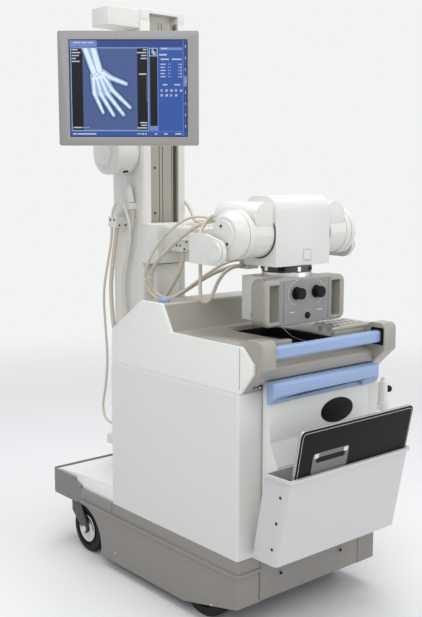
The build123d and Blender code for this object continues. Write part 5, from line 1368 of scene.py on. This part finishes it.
# bin: a round post inside each front corner, which closes the narrow gap there
binPosts = {"foot": (0.265, -0.1109, 0.2665), "towards": (0, -0.054, 0.278), "length": 0.2735, "radius": 0.0045}


def dressBin(setup):
    bm = bmesh.new()
    across, along, up = setup["foot"]
    radius, length = setup["radius"], setup["length"]
    for edge in (-1, 1):
        foot = spot(edge * across, along, up)
        addTurned(bm, [(radius, 0), (radius, length)], foot, setup["towards"], sides=24)
    finishPiece("binPosts", bm, ["binWhite"], "door")


dressBin(binPosts)

# casters: bright hub caps on both faces of each wheel, and a washer on both sides of each fork
hubDress = {"rim": 0.052, "hub": 0.020, "stand": 0.0035}
washerSteps = [(0.0130, -0.001), (0.0130, 0.0010), (0.0120, 0.0018), (0, 0.0018)]


def dressWheels(setup):
    rim, hub, stand = setup["rim"], setup["hub"], setup["stand"]
    capSteps = [
        (rim, -0.004), (rim, 0.0004), (rim - 0.003, 0.0012), (rim - 0.008, -0.0006), (hub + 0.010, -0.0012),
        (hub + 0.004, 0.0010), (hub, stand - 0.0012), (hub - 0.004, stand - 0.0008), (0, stand - 0.0006)]
    for word, edge in (("left", -1), ("right", 1)):
        low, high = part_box("caster_wheel_" + word)
        centre = (low + high) / 2
        for outward, face in ((-1, low.x), (1, high.x)):
            bm = bmesh.new()
            addTurned(bm, capSteps, Vector((face, centre.y, centre.z)), (outward, 0, 0), sides=48)
            finishPiece("hubCap" + word.title() + ("Outer" if outward == edge else "Inner"), bm, ["steel"],
                        "caster_wheel_" + word)
        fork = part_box("caster_fork_" + word)
        bm = bmesh.new()
        for outward, face in ((-1, fork[0].x), (1, fork[1].x)):
            addTurned(bm, washerSteps, Vector((face, centre.y, centre.z)), (outward, 0, 0), sides=24)
        finishPiece("axleWashers" + word.title(), bm, ["steel"], "caster_fork_" + word)


dressWheels(hubDress)

# accessory clamp: a bright bolt on its post and a ribbed black knob
clampDress = {
    "bolt": (0.351, 0.008, 0.722), "knob": (0.3738, 0.008, 0.684), "knobRadius": 0.0103, "ribs": 12,
    "ribDepth": 0.0006, "points": 48,
    # the knob's steps: how far out each stands, and what it adds to the radius
    "knobSteps": ((-0.0005, 0.0), (0.0008, 0.0008), (0.0142, 0.0008), (0.0160, -0.0006)),
}


def dressClamp(setup):
    bm = bmesh.new()
    bolt = spot(*setup["bolt"])
    addTurned(bm, [(0.0078, -0.001), (0.0078, 0.0020), (0.0070, 0.0030), (0, 0.0030)], bolt, (0, 0, 1), 24)
    addTurned(bm, [(0.0052, 0.002), (0.0052, 0.0058), (0.0040, 0.0068), (0, 0.0068)], bolt, (0, 0, 1), 6)
    across, along, up = setup["knob"]
    rings = []
    for reach, grow in setup["knobSteps"]:
        ring = []
        for k in range(setup["points"]):
            angle = 2 * math.pi * k / setup["points"]
            radius = setup["knobRadius"] + grow + setup["ribDepth"] * math.cos(setup["ribs"] * angle)
            aside = Vector((0, radius * math.cos(angle), radius * math.sin(angle)))
            ring.append(bm.verts.new(spot(across + reach, along, up) + aside))
        rings.append(ring)
    for face in [bm.faces.new(rings[0]), bm.faces.new(list(reversed(rings[-1])))] + bridgeRings(bm, rings):
        face.material_index = 1
    finishPiece("clampFittings", bm, ["steel", "blackPlastic"], "base")


dressClamp(clampDress)
for head in heads.values():
    bpy.data.objects.remove(head)
print("console, base, door and wheels dressed")
